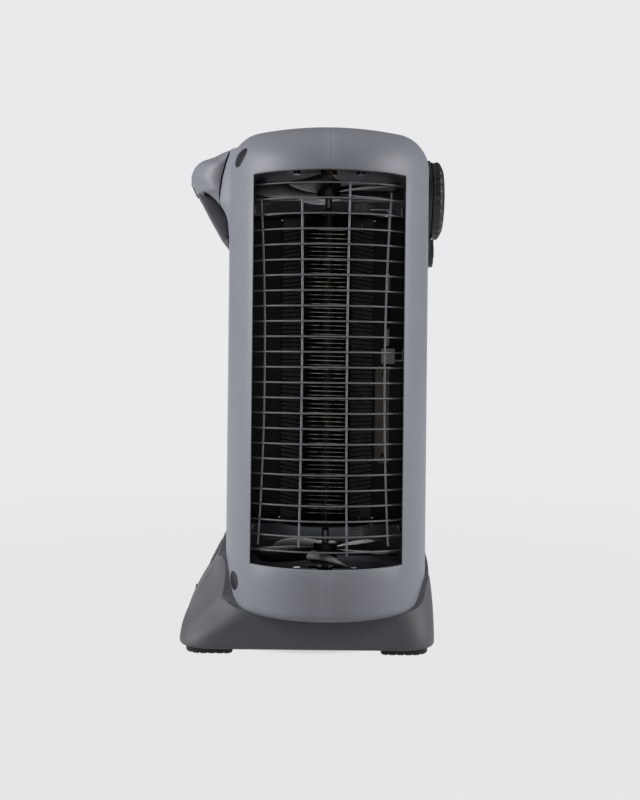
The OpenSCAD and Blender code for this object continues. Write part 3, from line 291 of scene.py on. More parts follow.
def piece_from(name, points, faces, mirror=False):
    """A closed mesh from points in millimetres; mirror turns it to the other side of X = 0."""
    mesh = bpy.data.meshes.new(name)
    flip = -1 if mirror else 1
    placed = [((flip * x + BODY_X) / 1000, y / 1000, z / 1000) for x, y, z in points]
    mesh.from_pydata(placed, [], [tuple(reversed(f)) for f in faces] if mirror else faces)
    work = bmesh.new()
    work.from_mesh(mesh)
    bmesh.ops.remove_doubles(work, verts=work.verts, dist=1e-6)
    bmesh.ops.dissolve_degenerate(work, dist=1e-7, edges=work.edges)
    bmesh.ops.recalc_face_normals(work, faces=work.faces)
    work.to_mesh(mesh)
    work.free()
    return in_scene(name, mesh)


def loft(name, rings, mirror=False):
    """A solid through rings of equal length, with flat ends."""
    n, m = len(rings[0]), len(rings)
    faces = [(k * n + i, k * n + (i + 1) % n, (k + 1) * n + (i + 1) % n, (k + 1) * n + i)
             for k in range(m - 1) for i in range(n)]
    faces += [tuple(reversed(range(n))), tuple((m - 1) * n + i for i in range(n))]
    return piece_from(name, [p for ring in rings for p in ring], faces, mirror)


def prism(name, outline, low, high, axis="z"):
    """A solid pulled from low to high along an axis; for x the outline is (y, z), for y it is (x, z)."""
    order = {"z": (0, 1, 2), "x": (2, 0, 1), "y": (0, 2, 1)}[axis]
    return loft(name, [[tuple((a, b, h)[k] for k in order) for a, b in outline] for h in (low, high)])


def block(name, low, high):
    (x0, y0, z0), (x1, y1, z1) = low, high
    return prism(name, [(x0, y0), (x1, y0), (x1, y1), (x0, y1)], z0, z1)


def circle(r, steps=64, centre=(0, 0), start=0.0, sweep=360.0):
    """Points of a circle, or of an arc with both its ends."""
    angles = [math.radians(start + sweep * i / steps) for i in range(steps if sweep >= 360 else steps + 1)]
    return [(centre[0] + r * math.cos(a), centre[1] + r * math.sin(a)) for a in angles]


def rod_x(name, x0, x1, r, y, z, steps=64):
    return prism(name, circle(r, steps, (y, z)), *sorted((x0, x1)), "x")


def revolved(name, profile, steps, place, radius=lambda r, a, k: r):
    """A solid turned from (r, h) pairs; place(a, r, h) gives the point, radius shapes the rim."""
    rings = [[place(2 * math.pi * i / steps, radius(r, 2 * math.pi * i / steps, k), h) for i in range(steps)]
             for k, (r, h) in enumerate(profile)]
    return loft(name, rings)


def combine(piece, other, how):
    """Adds, cuts or intersects another solid, then drops it."""
    join = piece.modifiers.new("joined", 'BOOLEAN')
    join.operation, join.object, join.solver = how, other, 'EXACT'
    mesh = bpy.data.meshes.new_from_object(piece.evaluated_get(bpy.context.evaluated_depsgraph_get()))
    piece.modifiers.clear()
    if len(mesh.polygons) < 4:
        raise RuntimeError(f"{piece.name} came out empty from {how} with {other.name}")
    piece.data = mesh
    bpy.data.objects.remove(other)
    return piece


def cut(piece, *others):
    for other in others:
        combine(piece, other, 'DIFFERENCE')
    return piece


def joined(name, parts):
    """One object from several solids that touch."""
    work = bmesh.new()
    for part in parts:
        work.from_mesh(part.data)
    mesh = bpy.data.meshes.new(name)
    work.to_mesh(mesh)
    work.free()
    for part in parts:
        bpy.data.objects.remove(part)
    return in_scene(name, mesh)


def softened(piece, width, angle=40, segments=2):
    """Rounds the edges sharper than angle by width millimetres."""
    work = bmesh.new()
    work.from_mesh(piece.data)
    edges = [e for e in work.edges if len(e.link_faces) == 2 and e.calc_face_angle(0) > math.radians(angle)]
    bmesh.ops.bevel(work, geom=edges, offset=width / 1000, segments=segments, affect='EDGES', profile=0.5,
                    clamp_overlap=True)
    work.to_mesh(piece.data)
    work.free()
    return piece


def dressed(piece, finish, body, nodes, angle=38):
    """Shades the piece, gives it its finish, and sets it on its body in place of CAD nodes."""
    piece.data.materials.clear()
    piece.data.materials.append(finishes()[finish])
    piece.data.polygons.foreach_set("material_index", [0] * len(piece.data.polygons))
    piece.data.polygons.foreach_set("use_smooth", [True] * len(piece.data.polygons))
    if angle:
        piece.data.set_sharp_from_angle(angle=math.radians(angle))
    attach(piece, body)
    if nodes:
        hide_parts(*nodes)
    return piece


def plain_from_nodes(name, source, tree, inputs):
    """Runs a node tree on an object and keeps its result as a plain mesh."""
    run = source.modifiers.new("pattern", 'NODES')
    run.node_group = tree
    for item in tree.interface.items_tree:
        if item.item_type == 'SOCKET' and item.in_out == 'INPUT' and item.name in inputs:
            run[item.identifier] = inputs[item.name]
    bpy.context.view_layer.update()
    mesh = bpy.data.meshes.new_from_object(source.evaluated_get(bpy.context.evaluated_depsgraph_get()))
    bpy.data.objects.remove(source)
    mesh.name = name
    if len(mesh.polygons) < 4:
        raise RuntimeError(f"the node tree for {name} made nothing")
    return in_scene(name, mesh)


def new_tree(name, inputs):
    """A geometry tree with named inputs; returns it with the sockets of its inputs and its output node."""
    tree = bpy.data.node_groups.new(name, 'GeometryNodeTree')
    tree.interface.new_socket("Geometry", in_out='INPUT', socket_type='NodeSocketGeometry')
    for label, kind in inputs:
        tree.interface.new_socket(label, in_out='INPUT', socket_type=kind)
    tree.interface.new_socket("Geometry", in_out='OUTPUT', socket_type='NodeSocketGeometry')
    return tree, add_node(tree, "NodeGroupInput").outputs, add_node(tree, "NodeGroupOutput")


def close_tree(tree, out, geometry, finish):
    """Realizes what a tree made, gives it its finish and sends it out."""
    real = add_node(tree, "GeometryNodeRealizeInstances", Geometry=geometry)
    coat = add_node(tree, "GeometryNodeSetMaterial", Geometry=real, Material=finishes()[finish])
    tree.links.new(coat.outputs[0], out.inputs[0])


def swept(tree, path, radius, sides):
    """A round wire along a curve, closed at its ends."""
    bead = add_node(tree, "GeometryNodeCurvePrimitiveCircle", {"mode": 'RADIUS'}, Radius=radius,
                    Resolution=sides)
    return add_node(tree, "GeometryNodeCurveToMesh", Curve=path, Profile_Curve=bead, Fill_Caps=True)


def fine_line(tree, points):
    """A curve of that many points, and the share of its length at each of them."""
    stick = add_node(tree, "GeometryNodeCurvePrimitiveLine", End=(0, 0, 1))
    fine = add_node(tree, "GeometryNodeResampleCurve", Curve=stick, Count=points)
    return fine, add_node(tree, "GeometryNodeSplineParameter").outputs["Factor"]


def empty_mesh(name):
    """A mesh of one point, for a node tree to work on."""
    mesh = bpy.data.meshes.new(name)
    mesh.from_pydata([(0, 0, 0)], [], [])
    return in_scene(name, mesh)


# The body's form

def crown_at(y):
    return FACE_CROWN * (1 + math.cos(math.pi * y / CROWN_SPAN)) / 2 if abs(y) < CROWN_SPAN else 0.0


def dome(x, y, grow):
    return DOME_Z + grow - DOME_FALL_Y * (y / HALF_W) ** 2 - DOME_FALL_X * (x / HALF_D) ** 2


def plan(inset, skin, seam):
    """Front half of the outline from the seam at -Y round to the seam at +Y, drawn in by inset.

    One point on each end arc falls on the outlet's side, for the skin that the ring belongs to."""
    r = HALF_D - inset
    at_open = -math.degrees(math.acos(OPEN_X / (HALF_D - skin)))
    turns = [-90 + (at_open + 90) * i / 10 for i in range(10)] + [at_open * (1 - i / 8) for i in range(9)]
    end = [(r * math.cos(math.radians(a)), r * math.sin(math.radians(a))) for a in turns]
    low = [(x, y - END_SHIFT) for x, y in end]
    flat = [(r, END_SHIFT * (i / 7 - 1)) for i in range(1, 14)]
    high = [(x, -y + END_SHIFT) for x, y in reversed(end)]
    return [(max(x + crown_at(y) * min(1, x / CROWN_FADE), seam), y) for x, y in low + flat + high]


def skin_rows(skin, seam):
    """Rows of points of one skin of a shell, from the floor inlet up and over to the seam on the dome."""
    rf, rt = FOOT_ROUND - skin, TOP_ROUND - skin
    rows = []
    for k in range(7):
        a = math.radians(90 - 15 * k)
        z = FLOOR_Z + skin + rf * (1 - math.sin(a))
        ring = [(x, y, z) for x, y in plan(skin + rf * (1 - math.cos(a)), skin, seam)]
        if k == 0:
            inlet = [(x * INLET_R / math.hypot(x, y), y * INLET_R / math.hypot(x, y)) for x, y, z in ring]
            rows.append([(max(x, seam), y, z) for x, y in inlet])
        rows.append(ring)
    wall = plan(skin, skin, seam)
    for z in [57.0, OPEN_LOW] + [OPEN_LOW + (OPEN_HIGH - OPEN_LOW) * i / 10 for i in range(1, 11)]:
        rows.append([(x, y, z) for x, y in wall])
    for k in range(11):
        a = math.radians(9 * k)
        rows.append([(x, y, dome(x, y, -skin) - rt * (1 - math.sin(a)))
                     for x, y in plan(skin + rt * (1 - math.cos(a)), skin, seam)])
    for s in (0.36, 0.45, 0.54, 0.63, 0.72, 0.8, 0.87, 0.93, 0.97):
        rows.append([(x, y, dome(x, y, -skin)) for x, y in plan(HALF_D * s, skin, seam)])
    rows.append([(seam, y, dome(seam, y, -skin)) for x, y in plan(HALF_D * 0.99, skin, seam)])
    return rows


def shell_wall(name, rear):
    """Wall of one shell: an outer and an inner skin, joined along the seam, the outlets and the inlet."""
    outer, inner = skin_rows(0.0, SEAM), skin_rows(WALL, SEAM)
    n, m = len(outer[0]), len(outer)
    first = next(i for i, row in enumerate(outer) if row[0][2] == OPEN_LOW)
    last = next(i for i, row in enumerate(outer) if row[0][2] == OPEN_HIGH)
    points = [p for row in outer + inner for p in row]
    faces = []
    for k in range(m - 1):
        for i in range(n - 1):
            if first <= k < last and (i < 10 or i >= n - 11):
                continue
            faces.append((k * n + i, k * n + i + 1, (k + 1) * n + i + 1, (k + 1) * n + i))
    borders = {(f[i], f[(i + 1) % 4]) for f in faces for i in range(4)}
    lift = n * m
    rim = [(b, a, a + lift, b + lift) for a, b in borders if (b, a) not in borders]
    faces += [tuple(v + lift for v in reversed(f)) for f in faces] + rim
    made = piece_from(name, points, faces, rear)
    work = bmesh.new()
    work.from_mesh(made.data)
    edges = []
    for e in work.edges:
        xs = [abs(v.co.x * 1000 - BODY_X) for v in e.verts]
        zs = [v.co.z * 1000 for v in e.verts]
        within = OPEN_LOW - 0.1 < min(zs) and max(zs) < OPEN_HIGH + 0.1
        upright = within and all(abs(x - OPEN_X) < 0.01 for x in xs)
        level = any(abs(min(zs) - h) < 0.01 and abs(max(zs) - h) < 0.01 for h in (OPEN_LOW, OPEN_HIGH))
        at_outlet = upright or (level and max(xs) < OPEN_X + 0.01)
        if at_outlet and len(e.link_faces) == 2 and e.calc_face_angle(0) > math.radians(50):
            edges.append(e)
    bmesh.ops.bevel(work, geom=edges, offset=sizes().edge_round, segments=2, affect='EDGES', profile=0.5,
                    clamp_overlap=False)
    work.to_mesh(made.data)
    work.free()
    return made


def body_solid(name, grow):
    """The body's whole form, grown by grow, as a cutter."""
    rows = []
    rf, rt = FOOT_ROUND + grow, TOP_ROUND + grow

    def ring(inset, height):
        half = plan(inset, 0.0, 0.0)
        whole = half + [(-x, y) for x, y in reversed(half[1:-1])]
        return [(x, y, height(x, y)) for x, y in whole]

    for k in range(9):
        a = math.radians(90 - 11.25 * k)
        rows.append(ring(rf * (1 - math.cos(a)) - grow, lambda x, y: FLOOR_Z - grow + rf * (1 - math.sin(a))))
    for k in range(9):
        a = math.radians(11.25 * k)
        drop = rt * (1 - math.sin(a))
        rows.append(ring(rt * (1 - math.cos(a)) - grow, lambda x, y: dome(x, y, grow) - drop))
    for s in (0.45, 0.63, 0.8, 0.93, 0.985):
        rows.append(ring(HALF_D * s, lambda x, y: dome(x, y, grow)))
    return loft(name, rows)


def bezel_outline(inset):
    """Outline of the bezel in (y, z): a disc with a tail below it."""
    r, half, low = 34 - inset, 13 - inset, SLIDER_Z - 2
    a = math.degrees(math.asin(half / r))
    top = circle(r, 60, (0, DIAL_Z), -90 + a, 360 - 2 * a)
    return top + circle(half, 24, (0, low), 180, 180)


def vent_slots(facing):
    """Low and high corners of the slots in a vent."""
    low, high = VENT_Z[facing]
    near, far = sorted((facing * (HALF_D - 8), facing * 200))
    z = low + 3
    while z <= high - 4:
        yield (near, -14, z), (far, 14, z + 1.6)
        z += 3.5


class FANHEATER_OT_shells(bpy.types.Operator):
    """Front and rear shells with their outlets, bosses, posts and recesses"""
    bl_idname = "fan_heater.shells"
    bl_label = "Shells"

    def execute(self, context):
        inside = body_solid("inside", -WALL / 2)
        for name, facing in (("front_shell", 1), ("rear_shell", -1)):
            shell = shell_wall(name + "_moulding", facing < 0)
            posts = [prism("post", circle(4, 32, (facing * POST_X, 0)), TOP_BAR_Z + 1.2, 440)]
            posts += [rod_x("foot", facing * 64.42, facing * 100, 3.5, y, z, 24)
                      for y in (-30, 30) for z in (90, 306)]
            posts += [rod_x("boss", facing * 0.15, facing * 130, 5, y, z, 32) for y, z in SCREWS]
            if facing < 0:
                posts += [rod_x("cup", -130, -55, 9.1, y, z, 48) for y, z in SCREWS]
            for part in posts:
                limit = in_scene("limit", inside.data.copy())
                combine(part, limit, 'INTERSECT')
                combine(shell, part, 'UNION')
            cuts = [rod_x("pilot", -facing, facing * 24, PILOT_R, y, z, 16) for y, z in SCREWS]
            cuts += [prism("hole", circle(1.6, 16, (facing * POST_X, 0)), TOP_BAR_Z, TOP_BAR_Z + 12)]
            cuts += [block("slot", low, high) for low, high in vent_slots(facing)]
            if facing > 0:
                cuts.append(prism("window", bezel_outline(0), 73.7, 110, "x"))
            else:
                cuts += [rod_x("recess", -150, -57, PLUG_RECESS_R, y, z, 64) for y, z in SCREWS]
                cuts += [rod_x("clear", -150, -0.5, SCREW_BORE_R, y, z, 24) for y, z in SCREWS]
                cuts.append(block("window", (-200, -45.1, 316.9), (-68.5, 45.1, 369.1)))
                cuts.append(on_nose("bore", [(NOSE_BORE_R, -45), (NOSE_BORE_R, 0)], 16))
                for z in range(215, 293, 11):
                    cuts.append(block("intake", (-200, -45, z), (4 - HALF_D, 45, z + 4)))
            cut(shell, *cuts)
            dressed(shell, "shell", "body", [name], 30)
        bpy.data.objects.remove(inside)
        return {'FINISHED'}


def smooth_line(points, per_span):
    """A curve through the points, with sharp ends."""
    out = []
    for i in range(len(points) - 1):
        p0, p1, p2, p3 = (Vector(points[max(0, min(len(points) - 1, i + d))]) for d in (-1, 0, 1, 2))
        for k in range(per_span):
            t = k / per_span
            out.append(tuple(0.5 * (2 * p1 + (p2 - p0) * t + (2 * p0 - 5 * p1 + 4 * p2 - p3) * t * t
                                    + (3 * p1 - p0 - 3 * p2 + p3) * t ** 3)))
    return out + [tuple(points[-1])]


class FANHEATER_OT_handle(bpy.types.Operator):
    """Rear handle with its groove, hollow and plug recess, and its inner half"""
    bl_idname = "fan_heater.handle"
    bl_label = "Handle"

    def execute(self, context):
        top = [(-7, 398), (0, 396.7), (6, 395), (12, 392.8), (17.5, 390.4), (23, 388.6), (28.1, 387),
               (32.3, 384.3), (35.6, 379.8), (37.4, 374.2), (37, 370), (34.9, 365.3), (32.4, 360)]
        under = [(32.4, 360), (29.5, 358), (24, 355.4), (17, 350), (13, 345), (6, 334), (-6, 316)]
        profile = [(-16.5, 390)] + smooth_line(top, 3) + smooth_line(under, 4)[1:] + [(-16.5, 316)]
        half = 58.0
        places = [-1, -0.995, -0.985, -0.965, -0.93, -0.88, -0.8, -0.7, -0.58, -0.45, -0.3, -0.1]
        rings = []
        for s in places + [-p for p in reversed(places)]:
            # Bowed in plan, rounded at the ends, and falling with the dome towards both sides
            share = (1 - 0.5 * s * s) * (0.3 + 0.7 * (1 - abs(s) ** 12) ** 0.4)
            fall = 0.003 * (s * half) ** 2
            rings.append([(-HALF_D - (a * share if a > 0 else a), s * half,
                           b - fall * min(1, max(0, (b - 350) / 30))) for a, b in profile])
        groove = [(-79.0, 391), (-80.6, 385), (-83, 378), (-86, 366), (-88.4, 348), (-89.5, 336), (-90, 290),
                  (-18, 290), (-18, 391)]
        scoop = [(-68.5, 386), (-88.5, 378), (-98, 372), (-102, 364), (-101, 342), (-68.5, 282)]
        handle = loft("rear_handle_moulding", rings)
        cut(handle, prism("groove", groove, -FAR, FAR, "y"), body_solid("behind", FIT),
            prism("scoop", scoop, -42, 42, "y"),
            on_nose("recess", [(PLUG_RECESS_R, -3), (PLUG_RECESS_R, 60)], 48),
            on_nose("bore", [(SCREW_BORE_R, -60), (SCREW_BORE_R, 60)], 48))
        softened(handle, 0.5, 50)
        dressed(handle, "shell", "body", ["rear_handle"], 32)

        # Inner half, between the groove and the rear face, into which its sides run out
        rings = []
        for z, reach in ((388.2, 78.6), (386, 79.2), (382, 80.3), (378, 81.6), (372, 83.2), (366, 84.7),
                         (357, 86.1), (348, 87.1), (346, 86.9), (343, 85.5), (339, 82.9), (335, 81.2),
                         (330, 80.1), (322, 79.3), (314, 78.7)):
            half = []
            for y in [0, 20, 40, 51.5] + [54 + i for i in range(18)]:
                up = z - (dome(78.0, y, 0) - TOP_ROUND)
                r = HALF_D - (TOP_ROUND - math.sqrt(TOP_ROUND ** 2 - up * up) if up > 0 else 0)
                wall = math.sqrt(r * r - max(0, y - END_SHIFT) ** 2)
                share = (1 + math.cos(math.pi * min(1, max(0, (y - 56) / 15)))) / 2
                half.append((-(wall + (reach - wall) * share), y))
            rings.append([(x, -y, z) for x, y in reversed(half[1:])] + [(x, y, z) for x, y in half]
                         + [(-60, 71, z), (-60, -71, z)])
        inner = loft("handle_inner_half", rings)
        cut(inner, body_solid("behind", 0.05), block("room", (-FAR, -42, 300), (-60, 42, 366)),
            on_nose("bore", [(NOSE_BORE_R, -45), (NOSE_BORE_R, 0)], 24))
        dressed(inner, "shell", "body", ["handle_inner"], 50)
        return {'FINISHED'}


def on_nose(name, profile, steps):
    """A turned solid on the handle screw's line; heights count outwards from the nose."""
    tilt = math.radians(-114)

    def place(a, r, h):
        x, y = r * math.cos(a), r * math.sin(a)
        return (-HALF_D - 34.5 + x * math.cos(tilt) + h * math.sin(tilt), y,
                NOSE_Z - 7 - x * math.sin(tilt) + h * math.cos(tilt))

    return revolved(name, profile, steps, place)


class FANHEATER_OT_grip_strap(bpy.types.Operator):
    """Grip strap from under the nose down to the rear face, rounded for the hand"""
    bl_idname = "fan_heater.grip_strap"
    bl_label = "Grip strap"

    def execute(self, context):
        line = smooth_line([(-109, 357.6, 0), (-103.4, 348, 0.25), (-97.2, 336.5, 0.5), (-91.8, 327.2, 0.75),
                            (-86.5, 318, 1)], 6)
        rings = []
        for k, (x, z, s) in enumerate(line):
            w = 26 + 12 * s - 0.2
            # The lips die out where the strap runs into the nose and into the rear face
            lip = 7 * min(1, k / 4) * min(1, (len(line) - 1 - k) / 8)
            rise = -0.12 if k == 0 else 0.45
            side = [(0, w / 2), (0, w - 1.6), (0.15, w - 0.6), (0.7, w), (2.5, w), (3.9 + lip, w),
                    (4.5 + lip, w - 0.6), (4.5 + lip, w - 1.9), (4.1 + lip * 0.9, w - 2.5), (4.5, w - 3.4),
                    (4.5, w / 2)]
            section = [(0, 0)] + side + [(4.5, 0)] + [(deep, -across) for deep, across in reversed(side)]
            rings.append([(x + deep, across, z + 1.11 * rise * deep) for deep, across in section])
        dressed(loft("grip_strap_moulding", rings), "base", "body", ["grip_strap"], 50)
        return {'FINISHED'}


class FANHEATER_OT_plugs(bpy.types.Operator):
    """Press-in plugs over the casing screws and the handle screw"""
    bl_idname = "fan_heater.plugs"
    bl_label = "Screw plugs"

    def execute(self, context):
        parts = []
        turn = math.asin((SCREW_Y - END_SHIFT) / HALF_D)
        for y, z in SCREWS:
            upper = z > NOSE_Z
            plug = rod_x("plug", -140, -60, PLUG_R, y, z, 64)
            # The face lies in the surface's tangent plane: bring a thick slab there and keep what both hold
            slab = block("slab", (-20.5 - BODY_X, -30, -30), (-0.5 - BODY_X, 30, 30))
            x = -HALF_D * math.cos(turn) + (1.3 if upper else 0)
            slab.data.transform(Matrix.Translation(((x + BODY_X) / 1000, y / 1000, z / 1000))
                                @ Matrix.Rotation(math.pi - math.copysign(turn, y), 4, 'Z')
                                @ Matrix.Rotation(math.radians(-19 if upper else 0), 4, 'Y'))
            combine(plug, slab, 'INTERSECT')
            parts.append(softened(plug, 0.45, 30, 3))
        dressed(joined("screw_plug_mouldings", parts), "plug", "body", ["screw_plugs"], 50)
        profile = [(PLUG_R, -1.8), (PLUG_R, 0.3), (6.8, 0.7), (6.2, 0.9), (3.0, 0.9), (2.7, 0.7), (0.4, 0.7)]
        nose = on_nose("handle_plug_moulding", profile, 64)
        dressed(nose, "plug", "body", ["handle_plug"], 50)
        return {'FINISHED'}


# Base

def base_corner(flare, turn, z, inset):
    """Point of the skirt where its surface faces turn degrees round from the side, on the -Y side.

    Low down it lies on a rounded rectangle, and it draws in to the body's round end as it rises."""
    a, b = math.radians(turn), math.radians(UPPER_TURN)
    r = CORNER_R - inset
    low = (HALF_D + 3 + flare - CORNER_R + r * math.cos(a), 79 + r * math.sin(a))
    # The collar thins towards its top edge
    r = 80.2 + 1.6 * (0.5 + 0.5 * math.cos(math.pi * min(1, max(0, (z - 28) / 34)))) - inset
    if turn < UPPER_TURN:
        high = (r * math.cos(a), END_SHIFT + r * math.sin(a))
    else:
        big, small = r - UPPER_CORNER_R + inset, UPPER_CORNER_R - inset
        high = (big * math.cos(b) + small * math.cos(a), END_SHIFT + big * math.sin(b) + small * math.sin(a))
    span = 33 + 52 * math.exp(-turn / 20)
    share = 1.0 if z < 5 else (1 + math.cos(math.pi * min(1, (z - 5) / span))) / 2
    return low[0] * share + high[0] * (1 - share), -(low[1] * share + high[1] * (1 - share))


# Degrees round from the side at which the collar leaves the body's round end, and its corner's radius there
UPPER_TURN, UPPER_CORNER_R = 25.5, 26.0
# How far the skirt's front and rear stand out in the middle
SKIRT_CROWN = 2.5
BASE_TURNS = [0, 3, 6, 10, 14, 18, 22, 25.5, 31, 38, 46, 54, 62, 70, 80, 90]


def base_ring(z, inset):
    """Outline of the skirt at a height, drawn in by inset."""
    front = [base_corner(FRONT_FLARE, turn, z, inset) for turn in BASE_TURNS]
    rear = [(-x, y) for x, y in (base_corner(REAR_FLARE, turn, z, inset) for turn in BASE_TURNS)]

    def flat(corner, facing):
        x, half = corner[0][0], -corner[0][1]
        ys = [half * (i / 6 - 1) for i in range(1, 12)]
        return [(x + facing * SKIRT_CROWN * (1 + math.cos(math.pi * y / half)) / 2, y) for y in ys]

    points = list(reversed(front)) + flat(front, 1)
    points += [(x, -y) for x, y in front] + [(x, -y) for x, y in reversed(rear)]
    points += list(reversed(flat(rear, -1))) + rear
    return [(x, y, z) for x, y in points]


# Top edge of the collar at the front and at the rear, as (y, z)
COLLARS = {
    1: [(0, 64), (18, 63.5), (30, 58.5), (45, 54), (60, 52), (72, 50), (82, 43.5), (90, 37), (98, 33),
        (106, 31)],
    -1: [(0, 76), (18, 75.5), (30, 72), (45, 68.5), (58, 66.5), (66, 64.5), (72, 60), (78, 51), (84, 43.5),
         (91, 37.5), (100, 33), (110, 31)],
}


def vent_outline(facing, inset):
    low, high = VENT_Z[facing]
    r, mid = (high - low) / 2 - inset, (low + high) / 2
    half = 20 - r - inset
    return circle(r, 20, (half, mid), -90, 180) + circle(r, 20, (-half, mid), 90, 180)


class FANHEATER_OT_base(bpy.types.Operator):
    """Flared base housing that cups the body, with its vents' windows and the cord's hole"""
    bl_idname = "fan_heater.base"
    bl_label = "Base"

    def execute(self, context):
        edge = ((3.7, 3), (4.05, 1.9), (4.6, 0.95), (5.5, 0.35))
        rings = [base_ring(z, inset) for z, inset in edge]
        rings += [base_ring(7 + 73 * i / 26, 0) for i in range(27)]
        base = loft("base_housing_moulding", rings)
        for facing, line in COLLARS.items():
            half = smooth_line(line, 4)
            hill = [(-y, z) for y, z in reversed(half[1:])] + half
            above = [(-FAR, FAR), (-FAR, 31)] + hill + [(FAR, 31), (FAR, FAR)]
            cut(base, prism("above", above, *sorted((0, facing * FAR)), "x"))
        hollow = loft("hollow", [base_ring(z, 3.4) for z in (2.7, 8, 12, 16, 20, 24, 27.2)])
        cut(hollow, *[prism("post", circle(5, 24, place), 6.2, 40) for place in BASE_POSTS])
        cut(base, body_solid("cup", FIT), hollow, prism("inlet", circle(INLET_R, 96), 0, FAR))
        for facing in (1, -1):
            cut(base, prism("window", vent_outline(facing, 0), *sorted((facing * 74.5, facing * 134.5)), "x"))
        cut(base, rod_x("cord", -200, -HALF_D, 6.3, 46, 16.5, 48))
        cut(base, *[prism("pilot", circle(1.7, 16, place), 0, 20) for place in BASE_POSTS])
        dressed(base, "base", "body", ["base_housing"], 34)
        return {'FINISHED'}


class FANHEATER_OT_vents(bpy.types.Operator):
    """Bowed louvre inserts in the base's front and rear windows"""
    bl_idname = "fan_heater.vents"
    bl_label = "Vents"

    def execute(self, context):
        for name, node, facing, low, high, bow in (("front_vent_louvre", "front_vent", 1, 39.4, 60.6, 1.5),
                                                   ("rear_vent_louvre", "rear_vent", -1, 51.6, 71.4, 0.8)):
            flare = FRONT_FLARE if facing > 0 else REAR_FLARE

            def skirt(y, z):
                x, half = base_corner(flare, 0, z, 0)
                return x + SKIRT_CROWN * (1 + math.cos(math.pi * y / half)) / 2

            rings = []
            for j in range(25):
                y = -23 + 46 * j / 24
                tall = (high - low) / 2 * math.sqrt(1 - abs(y / 23.2) ** 5)
                face, back = [], []
                for i in range(13):
                    t = i / 6 - 1
                    z = (low + high) / 2 + tall * t
                    rise = bow * (1 - t * t) * (1 - (y / 23.2) ** 2)
                    face.append((facing * (skirt(y, z) + 0.35 + rise + 0.25 * (1 - t ** 8)), y, z))
                    back.append((facing * (skirt(y, z) + 0.02), y, z))
                rings.append(face + back[::-1])
            louvre = loft(name, rings)
            ends = sorted((facing * 79.2, facing * (skirt(0, high) + 0.4)))
            combine(louvre, prism("core", vent_outline(facing, FIT), *ends, "x"), 'UNION')
            cut(louvre, *[block("slot", a, b) for a, b in vent_slots(facing)])
            dressed(louvre, "dark", "body", [node], 34)
        return {'FINISHED'}


class FANHEATER_OT_feet(bpy.types.Operator):
    """Four rubber feet with ribbed treads"""
    bl_idname = "fan_heater.feet"
    bl_label = "Rubber feet"

    def execute(self, context):
        long, wide, grooves = 36.0, 17.0, 5
        parts = []
        for x0, y0 in [(x, y) for x in (-106.0, 42.2) for y in (-100.0, 83.0)]:
            x1, y1, mid_x, mid_y = x0 + long, y0 + wide, x0 + long / 2, y0 + wide / 2
            outline = []
            for cx, cy, start in ((x1, y0, -90), (x1, y1, 0), (x0, y1, 90), (x0, y0, 180)):
                # The outer corner is kept inside the base's own corner
                r = 13 if (cx > 70 or cx < -100) and abs(cy) > 95 else 4
                centre = (cx - r if cx == x1 else cx + r, cy - r if cy == y1 else cy + r)
                outline += circle(r, 8, centre, start, 90)
            rings = []
            for z, by in ((0, 1.0), (0.35, 0.35), (1.0, 0.0), (3.68, 0.0)):
                kept_x, kept_y = 1 - 2 * by / long, 1 - 2 * by / wide
                rings.append([(mid_x + (x - mid_x) * kept_x, mid_y + (y - mid_y) * kept_y, z)
                              for x, y in outline])
            cuts = [block("groove", (x0 + 5 + 6 * i, y0 - 5, -1), (x0 + 6.4 + 6 * i, y1 + 5, 0.7))
                    for i in range(grooves)]
            parts.append(cut(loft("foot", rings), *cuts))
        dressed(joined("rubber_feet_pads", parts), "rubber", "body", ["rubber_feet"], 30)
        return {'FINISHED'}


# Grilles

# Each upright, in metres: its place, how far its foot stands over the lowest wire and its head ends below the
# top one, and its share of the bend towards the middle
UPRIGHTS = ((-0.0515, 0.0035, 0.0104, -1.0), (-0.0205, 0.0035, 0.0104, -0.3), (0.0152, -0.003, -0.001, 0.3),
            (0.0465, 0.0035, 0.0057, 1.0))


